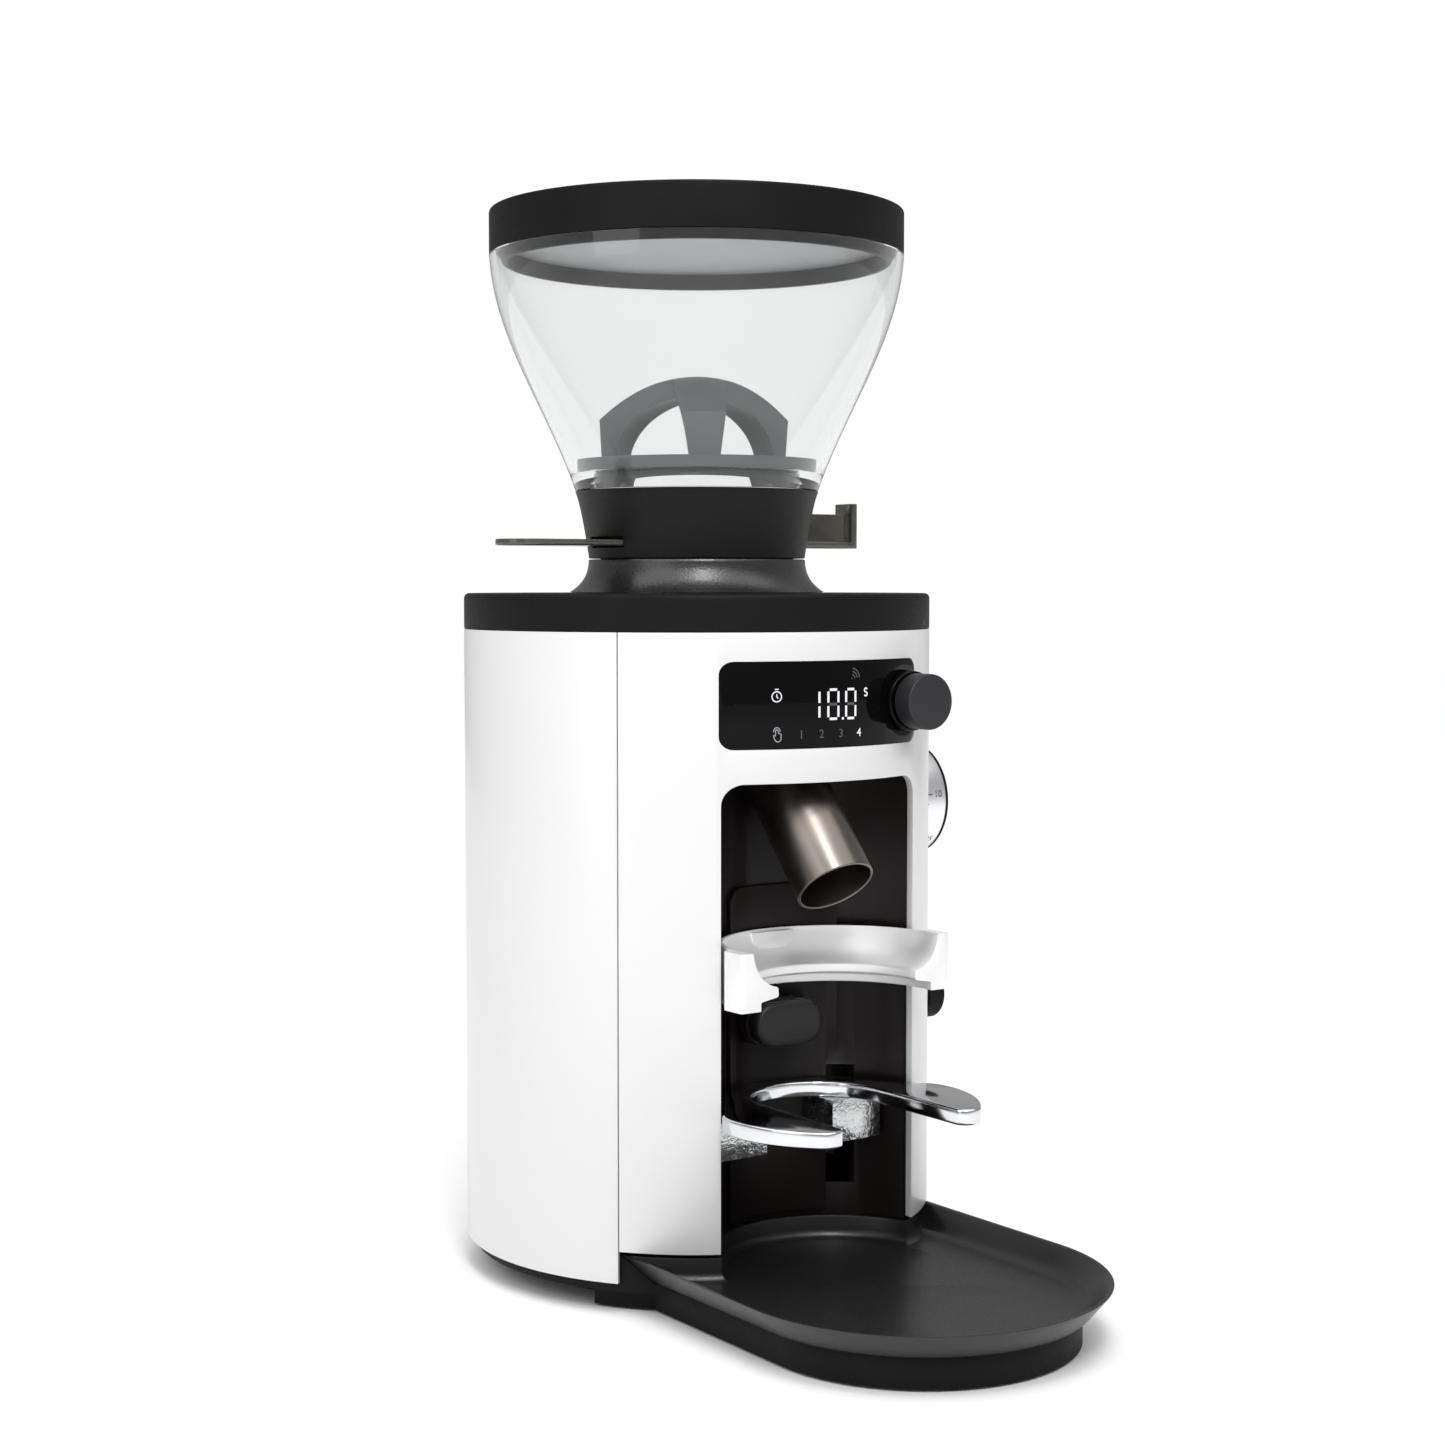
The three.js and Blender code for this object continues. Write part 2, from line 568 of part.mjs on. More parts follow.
function forkOutline() {
  const inBody = RECESS_HALF_WIDTH - SLIDE_GAP;
  const wide = inBody + 7.2;
  const tipY = RECESS_Y - 41;
  const shape = new THREE.Shape();
  const start = Math.acos(inBody / FORK_BACK_RADIUS);
  shape.moveTo(inBody, RECESS_Y + 8);
  shape.bezierCurveTo(inBody + 4, RECESS_Y + 7.5, wide, RECESS_Y + 4, wide, RECESS_Y - 5);
  shape.bezierCurveTo(wide, RECESS_Y - 20, wide - 8, RECESS_Y - 32, wide - 15, tipY + 2);
  shape.bezierCurveTo(wide - 18, tipY - 1.5, FORK_SLOT, tipY - 1, FORK_SLOT - 0.5, tipY + 6);
  shape.lineTo(FORK_SLOT, RECESS_Y + 10.5);
  shape.absarc(0, RECESS_Y + 10.5, FORK_SLOT, 0, Math.PI, false);
  shape.lineTo(-FORK_SLOT + 0.5, tipY + 6);
  shape.bezierCurveTo(-FORK_SLOT, tipY - 1, 18 - wide, tipY - 1.5, 15 - wide, tipY + 2);
  shape.bezierCurveTo(8 - wide, RECESS_Y - 32, -wide, RECESS_Y - 20, -wide, RECESS_Y - 5);
  shape.bezierCurveTo(-wide, RECESS_Y + 4, -inBody - 4, RECESS_Y + 7.5, -inBody, RECESS_Y + 8);
  shape.absarc(0, RECESS_Y, FORK_BACK_RADIUS, Math.PI - start, start, true);
  return shape;
}

function fork() {
  const low = FORK_TOP - FORK_THICKNESS;
  const plate = slab(forkOutline(), low, FORK_TOP, 8);
  const backRoom = slab(disc(FORK_BACK_RADIUS, RECESS_Y), 0, RECESS_TOP, RECESS_STEPS);
  const legs = [FORK_ARM_X - 14, -FORK_ARM_X + 14 - LEG_WIDTH].map((x) =>
    common(box(x, x + LEG_WIDTH, RECESS_Y + 24, -RECESS_BACK, low - LEG_HEIGHT, low + 1), backRoom));
  return join(plate, ...legs);
}

function forkCarriage() {
  const [low, high] = [FORK_ARM_Z - 6, FORK_ARM_Z + 6];
  const bar = box(-FORK_ARM_X - 4, CARRIAGE_X + 4, -RECESS_BACK + 3, -RECESS_BACK + 7, low, high);
  const arms = [-FORK_ARM_X, FORK_ARM_X].map((x) =>
    cut(
      box(x - 4, x + 4, RECESS_Y + 28, -RECESS_BACK + 4, low, high),
      slab(disc(FORK_BACK_RADIUS + GAP, RECESS_Y), 0, RECESS_TOP, RECESS_STEPS),
    ));
  const top = CLAMP_Z + FORK_DOWN + 10;
  const plate = box(CARRIAGE_X, CARRIAGE_X + 4, -RECESS_BACK + 3, CLAMP_Y + 10, low, top);
  const slotLow = CLAMP_Z - FORK_UP;
  const slot = rounded(8, FORK_UP + FORK_DOWN + 8, 3.9, 0, slotLow + (FORK_UP + FORK_DOWN) / 2);
  const slotTool = slabY(slot, -10, 10, 6).rotateZ(Math.PI / 2).translate(CARRIAGE_X + 2, CLAMP_Y, 0);
  return cut(join(bar, ...arms, plate), slotTool);
}

// Bracket that the clamp squeezes the carriage against, standing on the base: on its rim, or
// on its floor when the body is wide enough.
function clampGuide() {
  const x = CARRIAGE_X + 4 + SLIDE_GAP;
  const onRim = Math.hypot(x + 3, CLAMP_Y) > BASE_WAIST - BASE_WALL;
  const floor = (onRim ? SHELL_BOTTOM : FOOT_GAP + BASE_WALL) + GAP;
  return cut(
    box(x, x + 3, CLAMP_Y - 10, CLAMP_Y + 14, floor, CLAMP_Z + 26),
    rodX(POST_RADIUS, 0, BODY_RADIUS).translate(0, CLAMP_Y, CLAMP_Z),
  );
}

const clampScrew = () => {
  const thread = rodX(3, CARRIAGE_X - 8, BODY_RADIUS - 0.8, 20);
  const nut = rodX(7, CARRIAGE_X - 7, CARRIAGE_X - SLIDE_GAP, 6);
  return join(thread, nut).translate(0, CLAMP_Y, CLAMP_Z);
};
const clampKnob = () =>
  rodX(CLAMP_RADIUS, BODY_RADIUS - 0.5, BODY_RADIUS + 8, 40).translate(0, CLAMP_Y, CLAMP_Z);

// ---------------------------------------------------------------- motor and shaft

function motorHousing() {
  const [low, top] = [MOTOR_LOW, MOTOR_TOP];
  const hole = BEARING_RADIUS + 2;
  const inner = MOTOR_RADIUS - MOTOR_WALL;
  return turned([
    [hole, low], [MOTOR_RADIUS, low], [MOTOR_RADIUS, top], [hole, top],
    [hole, top - MOTOR_WALL], [inner, top - MOTOR_WALL], [inner, low + MOTOR_WALL], [hole, low + MOTOR_WALL],
  ]);
}

const shaftBore = SHAFT_RADIUS + GAP;
const stator = () => ring(MOTOR_RADIUS - MOTOR_WALL - GAP, ROTOR_RADIUS + 1, MOTOR_LOW + 14, MOTOR_TOP - 14);
const rotor = () => ring(ROTOR_RADIUS, shaftBore, MOTOR_LOW + 12, MOTOR_TOP - 12);
const lowerBearing = () => ring(BEARING_RADIUS + 2 - GAP, shaftBore, MOTOR_LOW, MOTOR_LOW + 5);
const upperBearing = () => ring(BEARING_RADIUS, shaftBore, RING_LOW, RING_LOW + 6);

function driveShaft() {
  const head = BURR_PLANE - BURR_HEIGHT + GAP;
  return turned([
    [0, MOTOR_LOW - 14], [SHAFT_RADIUS, MOTOR_LOW - 14], [SHAFT_RADIUS, head],
    [8, head], [8, head + 4], [0, head + 4],
  ], 24);
}

function coolingFan() {
  const [low, top] = [MOTOR_LOW - 12, MOTOR_LOW - 4];
  const hub = ring(10, shaftBore, low, top, 32);
  const plate = ring(30, 9, low, low + 2);
  const blades = Array.from({ length: 7 }, (_, i) =>
    box(9, 29, -0.8, 0.8, low + 1, top).rotateZ((2 * Math.PI * i) / 7));
  return join(hub, plate, ...blades);
}

// ---------------------------------------------------------------- grind adjustment

const PITCH_RADIUS = (TOOTH_MODULE * PINION_TEETH) / 2;
const RING_PITCH = (TOOTH_MODULE * RING_TEETH) / 2;
const RING_LOW = DIAL_Z + PITCH_RADIUS + 1.6;
const TOOTH_HALF = 0.8;

// Ring nut with teeth on its lower face, which a pinion on the dial's shaft turns.
function adjustingRing() {
  const body = ring(RING_PITCH + 3.4, CARRIER_RADIUS + 0.4, RING_LOW, RING_LOW + 6.6, 48);
  const teeth = Array.from({ length: RING_TEETH }, (_, i) =>
    box(RING_PITCH - 2, RING_PITCH + 3, -TOOTH_HALF, TOOTH_HALF, RING_LOW - 2, RING_LOW + 0.5)
      .rotateZ((2 * Math.PI * (i + 0.5)) / RING_TEETH));
  return join(body, ...teeth);
}

const CARRIER_RADIUS = BEARING_RADIUS + 6;

// Threaded sleeve that carries the upper bearing and rises as the ring nut turns.
function bearingCarrier() {
  const [low, top] = [RING_LOW - 12, RING_LOW + 12.4];
  const bore = BEARING_RADIUS + GAP;
  return turned([
    [shaftBore + 2, low], [CARRIER_RADIUS, low], [CARRIER_RADIUS, top], [bore, top],
    [bore, RING_LOW - GAP], [shaftBore + 2, RING_LOW - GAP],
  ], 28);
}

function dialShaft() {
  const teeth = Array.from({ length: PINION_TEETH }, (_, i) =>
    box(RING_PITCH - 2, RING_PITCH + 2.6, -TOOTH_HALF, TOOTH_HALF, 3, PITCH_RADIUS + 0.95)
      .rotateX((2 * Math.PI * i) / PINION_TEETH));
  const core = rodX(PITCH_RADIUS - 1.3, RING_PITCH - 2, RING_PITCH + 2.6, 24);
  const shaft = rodX(SHAFT_RADIUS - 1, RING_PITCH + 2, BODY_RADIUS + 2, 24);
  return join(core, shaft, ...teeth).translate(0, 0, DIAL_Z);
}

function dialDrum() {
  const [x0, x1] = [BODY_RADIUS + 0.5, BODY_RADIUS + DIAL_OUT];
  const bore = rodX(SHAFT_RADIUS - 1 + GAP, x0 - 1, BODY_RADIUS + 2 + GAP, 24);
  return cut(rodX(DIAL_RADIUS, x0, x1, 48), bore).translate(0, 0, DIAL_Z);
}

const dialCap = () =>
  rodX(DIAL_RADIUS + 0.2, BODY_RADIUS + DIAL_OUT, BODY_RADIUS + DIAL_OUT + 1.2, 48).translate(0, 0, DIAL_Z);

// ---------------------------------------------------------------- burrs and chamber

function grindChamber() {
  const [low, top] = [CHAMBER_LOW, CHAMBER_TOP];
  const cavity = BURR_RADIUS + 6.5;
  const seat = BURR_RADIUS + 9;
  const body = turned([
    [BEARING_RADIUS + 8, low], [CHAMBER_RADIUS, low], [CHAMBER_RADIUS, top], [seat, top],
    [seat, BURR_PLANE + BURR_HEIGHT + BURR_GAP], [cavity, BURR_PLANE + BURR_HEIGHT + BURR_GAP],
    [cavity, low + 4], [BEARING_RADIUS + 8, low + 4],
  ]);
  return cut(body, spoutRod(SPOUT_RADIUS + GAP));
}

function lowerBurrCarrier() {
  const top = BURR_PLANE - BURR_HEIGHT - GAP;
  return turned([
    [shaftBore, top - 5.5], [BURR_RADIUS + 2.5, top - 5.5], [BURR_RADIUS + 2.5, top], [shaftBore, top],
  ], 28);
}

// Flat burr: a steel ring with slanting grooves cut into its working face.
function burr(low, facesUp) {
  const body = ring(BURR_RADIUS, BURR_RADIUS - 12, low, low + BURR_HEIGHT, 24);
  const face = facesUp ? low + BURR_HEIGHT : low;
  const grooves = Array.from({ length: 12 }, (_, i) =>
    box(BURR_RADIUS - 11, BURR_RADIUS + 1, -0.5, 0.5, face - 0.8, face + 0.8)
      .rotateZ(0.5)
      .rotateZ((2 * Math.PI * i) / 12));
  return cut(body, ...grooves);
}

function upperBurrCarrier() {
  const low = BURR_PLANE + BURR_GAP + BURR_HEIGHT + GAP;
  const bore = BURR_RADIUS - 11.5;
  const outer = BURR_RADIUS + 9 - GAP;
  return turned([
    [bore, low], [outer, low], [outer, low + 8], [bore + 4, low + 8],
    [bore + 4, CHAMBER_TOP], [bore, CHAMBER_TOP],
  ]);
}

// ---------------------------------------------------------------- display and electrics

function displayLens() {
  const wall = slab(
    arcWall(BODY_RADIUS, BODY_RADIUS - LENS_WALL, -SEAM_ANGLE, SEAM_ANGLE),
    DISPLAY_LOW, DISPLAY_LOW + DISPLAY_HEIGHT, 12);
  const outline = slabY(displayOutline(-GAP), -BODY_RADIUS - 5, -BODY_RADIUS / 2, 6);
  return cut(common(wall, outline), bezelHole());
}

function knobBezel() {
  const body = rodY(BEZEL_RADIUS, BEZEL_FRONT, KNOB_LENS_Y + 5, 48);
  const room = rodY(BEZEL_RADIUS - 2.4, BEZEL_FRONT + 1.5, KNOB_LENS_Y + 6, 40);
  const bore = rodY(KNOB_SHAFT_RADIUS + SLIDE_GAP, BEZEL_FRONT - 1, KNOB_LENS_Y);
  return cut(body, room, bore).translate(KNOB_X, 0, KNOB_Z);
}

const KNOB_BACK = BEZEL_FRONT - KNOB_TRAVEL - SLIDE_GAP;
const KNOB_SHAFT_RADIUS = 3;

function controlKnob() {
  const cap = rodY(KNOB_RADIUS, KNOB_BACK - KNOB_LENGTH, KNOB_BACK, 40);
  const bore = rodY(KNOB_SHAFT_RADIUS + GAP, KNOB_BACK - KNOB_LENGTH / 2, KNOB_BACK + 1);
  return cut(cap, bore).translate(KNOB_X, 0, KNOB_Z);
}

const knobShaft = () =>
  rodY(KNOB_SHAFT_RADIUS, KNOB_BACK - KNOB_LENGTH / 2 + GAP, BEZEL_FRONT + 2.5).translate(KNOB_X, 0, KNOB_Z);

const BOARD_Y = KNOB_LENS_Y + 9;
const BOARD_WALL = 1.6;
const knobEncoder = () =>
  rodY(6.5, BEZEL_FRONT + 2.5 + KNOB_TRAVEL + GAP, BOARD_Y - GAP, 24).translate(KNOB_X, 0, KNOB_Z);

function displayBoard() {
  const [low, high] = [DISPLAY_LOW + 1, DISPLAY_LOW + DISPLAY_HEIGHT - 1];
  return box(-DISPLAY_HALF_WIDTH + 6, DISPLAY_HALF_WIDTH, BOARD_Y, BOARD_Y + BOARD_WALL, low, high);
}

// Power board with a transformer and two capacitors, upright behind the motor.
function powerBoard() {
  const y = MOTOR_RADIUS + 23;
  const low = MOTOR_LOW + 14;
  const board = box(-32, 32, y, y + BOARD_WALL, low, low + 72);
  const transformer = box(-26, 2, y - 14, y + 0.5, low + 6, low + 34);
  const capacitors = [12, 25].map((x) => rodY(5.5, y - 12, y + 0.5, 20).translate(x, 0, low + 18));
  return join(board, transformer, ...capacitors);
}

const INLET = { x: -24, z: 36, width: 27, height: 20, depth: 24 };
const ROCKER = { x: 22, z: 36, width: 17, height: 22, depth: 20 };
const rearFace = ({ x, width }) => Math.sqrt(BODY_RADIUS ** 2 - (Math.abs(x) - width / 2) ** 2);
const rearWindow = (part, grow) =>
  box(
    part.x - part.width / 2 - grow, part.x + part.width / 2 + grow, BODY_RADIUS / 2, BODY_RADIUS + 5,
    part.z - part.height / 2 - grow, part.z + part.height / 2 + grow,
  );

function rearBox(part, wall, depth) {
  const face = rearFace(part);
  const [w, h] = [part.width / 2, part.height / 2];
  return cut(
    box(part.x - w, part.x + w, face - part.depth, face, part.z - h, part.z + h),
    box(part.x - w + wall, part.x + w - wall, face - depth, face + 1, part.z - h + wall, part.z + h - wall),
  );
}

function mainsInlet() {
  const face = rearFace(INLET);
  const pins = [[-7, -2], [7, -2], [0, 3]].map(([dx, dz]) =>
    box(INLET.x + dx - 1, INLET.x + dx + 1, face - 18, face - 3, INLET.z + dz - 2, INLET.z + dz + 2));
  return join(rearBox(INLET, 1.8, 16), ...pins);
}

const ROCKER_RADIUS = 8.2;
const ROCKER_TILT = 7;
const rockerFrame = () => rearBox(ROCKER, 2, 16);
const rocker = () =>
  box(-5.8, 5.8, -4, 4, -7, 7)
    .rotateX(rad(ROCKER_TILT))
    .translate(ROCKER.x, rearFace(ROCKER) - ROCKER_RADIUS + 3.2, ROCKER.z);

// ---------------------------------------------------------------- neck, collar and hopper

const SPIGOT_RADIUS = NECK_RADIUS - 5;

// Flared seat for the hopper, with a funnel down to the burrs.
function hopperSeat() {
  const foot = NECK_RADIUS + 6.9;
  const throat = BURR_RADIUS - 11;
  return turned([
    [foot, CHAMBER_TOP + GAP],
    [foot, CAP_TOP + 0.3],
    ...curve([NECK_RADIUS + 7.7, CAP_TOP + 0.3], [NECK_RADIUS, CAP_TOP + 5], [NECK_RADIUS, NECK_TOP], 5),
    [SPIGOT_RADIUS + GAP, NECK_TOP],
    [SPIGOT_RADIUS + GAP, NECK_TOP - 8],
    [throat, CHAMBER_TOP + 8],
    [throat, CHAMBER_TOP + GAP],
  ]);
}

const HOPPER_SEAT_Z = COLLAR_LOW + 15.5;
const BLADE_HALF = THROAT_RADIUS + GATE_MARGIN;
const GATE_ROOM = Math.hypot(BLADE_HALF + GATE_TRAVEL, BLADE_HALF) + SLIDE_GAP;

function collarProfile() {
  const side = curve(
    [NECK_RADIUS - 0.2, COLLAR_LOW], [NECK_RADIUS + 3, COLLAR_TOP - 5.6], [COLLAR_TOP_RADIUS, COLLAR_TOP], 5);
  return [
    [SPIGOT_RADIUS - 2.5, COLLAR_LOW - 7.5], [SPIGOT_RADIUS, COLLAR_LOW - 7.5], [SPIGOT_RADIUS, COLLAR_LOW],
    ...side,
    [COLLAR_TOP_RADIUS - 3, COLLAR_TOP],
    [COLLAR_TOP_RADIUS - 3, HOPPER_SEAT_Z],
    [GATE_ROOM - 1.5, HOPPER_SEAT_Z],
    [THROAT_RADIUS + 1, GATE_Z + GATE_THICKNESS + 2],
    [THROAT_RADIUS + 1, GATE_Z + GATE_THICKNESS + 0.6],
    [GATE_ROOM, GATE_Z + GATE_THICKNESS + 0.6],
    [GATE_ROOM, GATE_Z - 0.6],
    [THROAT_RADIUS + 1, GATE_Z - 0.6],
    [THROAT_RADIUS + 1, COLLAR_LOW],
    [SPIGOT_RADIUS - 2.5, COLLAR_LOW],
  ];
}

const TONGUE_HALF = 11.5;

function hopperCollar() {
  const slotHalf = TONGUE_HALF + SLIDE_GAP;
  const slot = (x0, x1) => box(x0, x1, -slotHalf, slotHalf, GATE_Z - 0.6, GATE_Z + GATE_THICKNESS + 1.4);
  return cut(turned(collarProfile()), slot(-60, -GATE_ROOM + 3), slot(GATE_ROOM - 3, 60));
}

// Slide gate: a plate with a round hole, a tongue out to the left and an upright grip on the right.
function gateSlide() {
  const [z0, z1] = [GATE_Z, GATE_Z + GATE_THICKNESS];
  const left = -BODY_RADIUS + 2;
  const plate = box(-THROAT_RADIUS - GATE_TRAVEL - 1, BLADE_HALF, -BLADE_HALF, BLADE_HALF, z0, z1);
  const tongueEnd = rod(TONGUE_HALF, z0, z1).translate(left + TONGUE_HALF, 0, 0);
  const tongue = box(left + TONGUE_HALF, -THROAT_RADIUS - GATE_TRAVEL, -TONGUE_HALF, TONGUE_HALF, z0, z1);
  const grip = BODY_RADIUS - 16;
  const pull = box(THROAT_RADIUS + 1, grip - 1, -TONGUE_HALF / 2, TONGUE_HALF / 2, z0, z1);
  const web = box(NECK_RADIUS + 4, grip - 1, -1.3, 1.3, z1 - 0.5, z1 + 12);
  const plateUp = box(grip - 3, grip, -TONGUE_HALF / 2, TONGUE_HALF / 2, z0, z0 + 19);
  return cut(join(plate, tongueEnd, tongue, pull, web, plateUp), rod(THROAT_RADIUS, z0 - 1, z1 + 1));
}

// Clear bean hopper: a spigot in the collar, then one smooth curve out to the rim.
function hopperCurve(inset) {
  const wall = new THREE.CubicBezierCurve(
    point(COLLAR_TOP_RADIUS, COLLAR_TOP + GAP),
    point(COLLAR_TOP_RADIUS + 11.7, COLLAR_TOP + 34),
    point(HOPPER_RADIUS - 2, HOPPER_TOP - 33.7),
    point(HOPPER_RADIUS, HOPPER_TOP),
  );
  return wall.getPoints(7).map((p) => [p.x - inset, p.y]);
}

const LEDGE_Z = COLLAR_TOP + 7.6;

function hopper() {
  const outer = hopperCurve(0);
  const inner = hopperCurve(HOPPER_WALL).filter(([, z]) => z > LEDGE_Z + 1);
  const spigot = COLLAR_TOP_RADIUS - 3 - GAP;
  return turned([
    [spigot - HOPPER_WALL, HOPPER_SEAT_Z + GAP],
    [spigot, HOPPER_SEAT_Z + GAP],
    [spigot, COLLAR_TOP + GAP],
    ...outer,
    ...inner.reverse(),
    [inner[inner.length - 1][0] - 1.6, LEDGE_Z],
    [spigot - HOPPER_WALL, LEDGE_Z],
  ], 40);
}

// Finger guard: three legs, one towards the gate's grip, that meet in a dome above a ring.
function beanGuard() {
  const base = LEDGE_Z + GAP;
  const floor = base + 5;
  const shoulder = floor + GUARD_RISE / 2;
  const top = floor + GUARD_RISE;
  const outside = curve([GUARD_RADIUS, shoulder], [GUARD_RADIUS * 0.5, top - 0.5], [0, top], 5);
  const dome = turned([[0, base + 1], [GUARD_RADIUS, base + 1], ...outside]);
  const innerHalf = GUARD_RADIUS - GUARD_LEG_DEPTH;
  const under = Array.from({ length: 6 }, (_, i) => {
    const t = (i / 5) * (Math.PI / 2);
    return [innerHalf * Math.cos(t), floor + (GUARD_RISE - 8) * Math.sin(t)];
  });
  const hollow = turned([[0, base - 1], [innerHalf, base - 1], ...under], 24);
  const star = join(...Array.from({ length: GUARD_LEGS }, (_, i) =>
    legBar(base, top + 1).rotateZ((2 * Math.PI * i) / GUARD_LEGS)));
  return join(ring(SEAT_RING, innerHalf - 2, base, floor, 48), common(cut(dome, hollow), star));
}

// One leg's wedge, from the middle outwards, wider at its top.
function legBar(low, high) {
  const [foot, head] = [GUARD_BAR / 2, GUARD_BAR];
  const corners = [[-foot, low], [foot, low], [head, high], [-head, high]];
  const section = new THREE.Shape(corners.map(([x, z]) => point(x, z)));
  return slabY(section, 0, GUARD_RADIUS + 5).rotateZ(-Math.PI / 2);
}

const SEAT_RING = COLLAR_TOP_RADIUS - 0.9;

function lid() {
  const [low, top] = [LID_LOW, LID_LOW + LID_HEIGHT];
  const plug = HOPPER_RADIUS - HOPPER_WALL - 2.4;
  return turned([
    [HOPPER_RADIUS - 3, low], [HOPPER_RADIUS, low],
    ...curve([HOPPER_RADIUS, top - 2], [HOPPER_RADIUS, top], [HOPPER_RADIUS - 2, top], 2),
    [0, top], [0, top - 3],
    [plug - 2.4, top - 3], [plug - 2.4, low - LID_PLUG_DEPTH],
    [plug, low - LID_PLUG_DEPTH], [plug, low + 2], [HOPPER_RADIUS - 3, low + 2],
  ], 40);
}

const lidLiner = () =>
  rod(HOPPER_RADIUS - HOPPER_WALL - 2.4 - 2.4 - GAP, LID_LOW + 3, LID_LOW + 5, 64);

// ---------------------------------------------------------------- the pieces

add('base_pan', basePan(), BLACK);
FEET.forEach(([x, y], i) => add(`rubber_foot_${i + 1}`, rubberFoot().translate(x, y, 0), RUBBER));
add('drip_tray', dripTray(), BLACK);
add('rear_shell', rearShell(), WHITE);
add('front_panel', frontPanel(), WHITE);
add('top_cap', topCap(), BLACK);
POSTS.forEach((place, i) => add(`frame_post_${i + 1}`, framePost(place), STEEL));
add('motor_plate', motorPlate(), CAST);
add('chamber_plate', chamberPlate(), CAST);
add('spout', spout(), NICKEL);
add('recess_liner', recessLiner(), BLACK);
add('service_cover', serviceCover(), BLACK);
add('button_housing', buttonHousing(), BLACK);
add('start_button', startButton(), BLACK);
add('start_switch', startSwitch(), BOARD);
add('portafilter_bracket', bracket(), CHROME);
add('portafilter_fork', fork(), CHROME);
add('fork_carriage', forkCarriage(), STEEL);
add('clamp_guide', clampGuide(), STEEL);
add('clamp_screw', clampScrew(), STEEL);
add('clamp_knob', clampKnob(), BLACK);
add('motor_housing', motorHousing(), STEEL);
add('stator', stator(), COPPER);
add('rotor', rotor(), CAST);
add('drive_shaft', driveShaft(), STEEL);
add('lower_bearing', lowerBearing(), STEEL);
add('upper_bearing', upperBearing(), STEEL);
add('cooling_fan', coolingFan(), GREY);
add('adjusting_ring', adjustingRing(), STEEL);
add('bearing_carrier', bearingCarrier(), CAST);
add('dial_shaft', dialShaft(), STEEL);
add('dial_drum', dialDrum(), CHROME);
add('dial_cap', dialCap(), BLACK);
add('grind_chamber', grindChamber(), CAST);
add('lower_burr_carrier', lowerBurrCarrier(), CAST);
add('lower_burr', burr(BURR_PLANE - BURR_HEIGHT, true), STEEL);
add('upper_burr', burr(BURR_PLANE + BURR_GAP, false), STEEL);
add('upper_burr_carrier', upperBurrCarrier(), CAST);
add('display_lens', displayLens(), GLOSS_BLACK);
add('knob_bezel', knobBezel(), GLOSS_BLACK);
add('control_knob', controlKnob(), BLACK);
add('knob_shaft', knobShaft(), STEEL);
add('knob_encoder', knobEncoder(), STEEL);
add('display_board', displayBoard(), BOARD);
add('power_board', powerBoard(), BOARD);
add('mains_inlet', mainsInlet(), BLACK);
add('rocker_frame', rockerFrame(), BLACK);
add('power_rocker', rocker(), BLACK);
add('hopper_seat', hopperSeat(), BLACK);
add('hopper_collar', hopperCollar(), BLACK);
add('gate_slide', gateSlide(), SMOKE);
add('bean_hopper', hopper(), CLEAR);
add('finger_guard', beanGuard(), GREY);
add('lid', lid(), BLACK);
add('lid_liner', lidLiner(), GREY);

// ---------------------------------------------------------------- footprint

const footprintX = [-BODY_RADIUS, BODY_RADIUS + DIAL_OUT + 1.2];
const footprintY = [TRAY_CENTRE_Y - TRAY_HALF_WIDTH, BODY_RADIUS];
grinder.position.set(
  -(footprintX[0] + footprintX[1]) / 2,
  -(footprintY[0] + footprintY[1]) / 2,
  0,
);

export default grinder;
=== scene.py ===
"""Looks of an upright electric burr coffee grinder with a bean hopper and a drip tray.

Pieces are drawn in millimetres about the body's upright axis, the front towards -Y, and are set
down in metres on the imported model, which this scene takes as its frame.
"""

import math

import bmesh
import bpy
from mathutils import Matrix, Vector


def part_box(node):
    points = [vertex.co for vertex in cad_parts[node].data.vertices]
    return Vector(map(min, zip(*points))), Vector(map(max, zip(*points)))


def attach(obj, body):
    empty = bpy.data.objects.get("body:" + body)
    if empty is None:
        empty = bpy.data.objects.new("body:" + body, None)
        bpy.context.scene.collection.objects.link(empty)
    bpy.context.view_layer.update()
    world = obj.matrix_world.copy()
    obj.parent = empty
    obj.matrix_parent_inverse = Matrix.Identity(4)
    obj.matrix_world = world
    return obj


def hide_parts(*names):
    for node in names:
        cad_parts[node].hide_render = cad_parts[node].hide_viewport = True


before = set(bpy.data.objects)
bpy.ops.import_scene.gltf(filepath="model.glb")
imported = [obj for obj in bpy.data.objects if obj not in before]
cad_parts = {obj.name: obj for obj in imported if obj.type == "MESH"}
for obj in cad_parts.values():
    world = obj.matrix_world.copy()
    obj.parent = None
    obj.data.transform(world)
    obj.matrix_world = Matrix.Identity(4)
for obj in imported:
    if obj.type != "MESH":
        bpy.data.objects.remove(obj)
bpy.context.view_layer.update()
scene = bpy.context.scene

# ---------------------------------------------------------------------------- camera
# A standard lens at about the height of the display, looking down a little from the front left.
shaft_low, shaft_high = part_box("drive_shaft")
AXIS = Vector(((shaft_low.x + shaft_high.x) / 2, (shaft_low.y + shaft_high.y) / 2, 0))
VIEW_PITCH = math.radians(3.3)

VIEW_ACROSS, VIEW_AHEAD = 0.5764, 0.8171
EYE_FROM_AXIS = Vector((-0.5582, -0.8095, 0.2769))

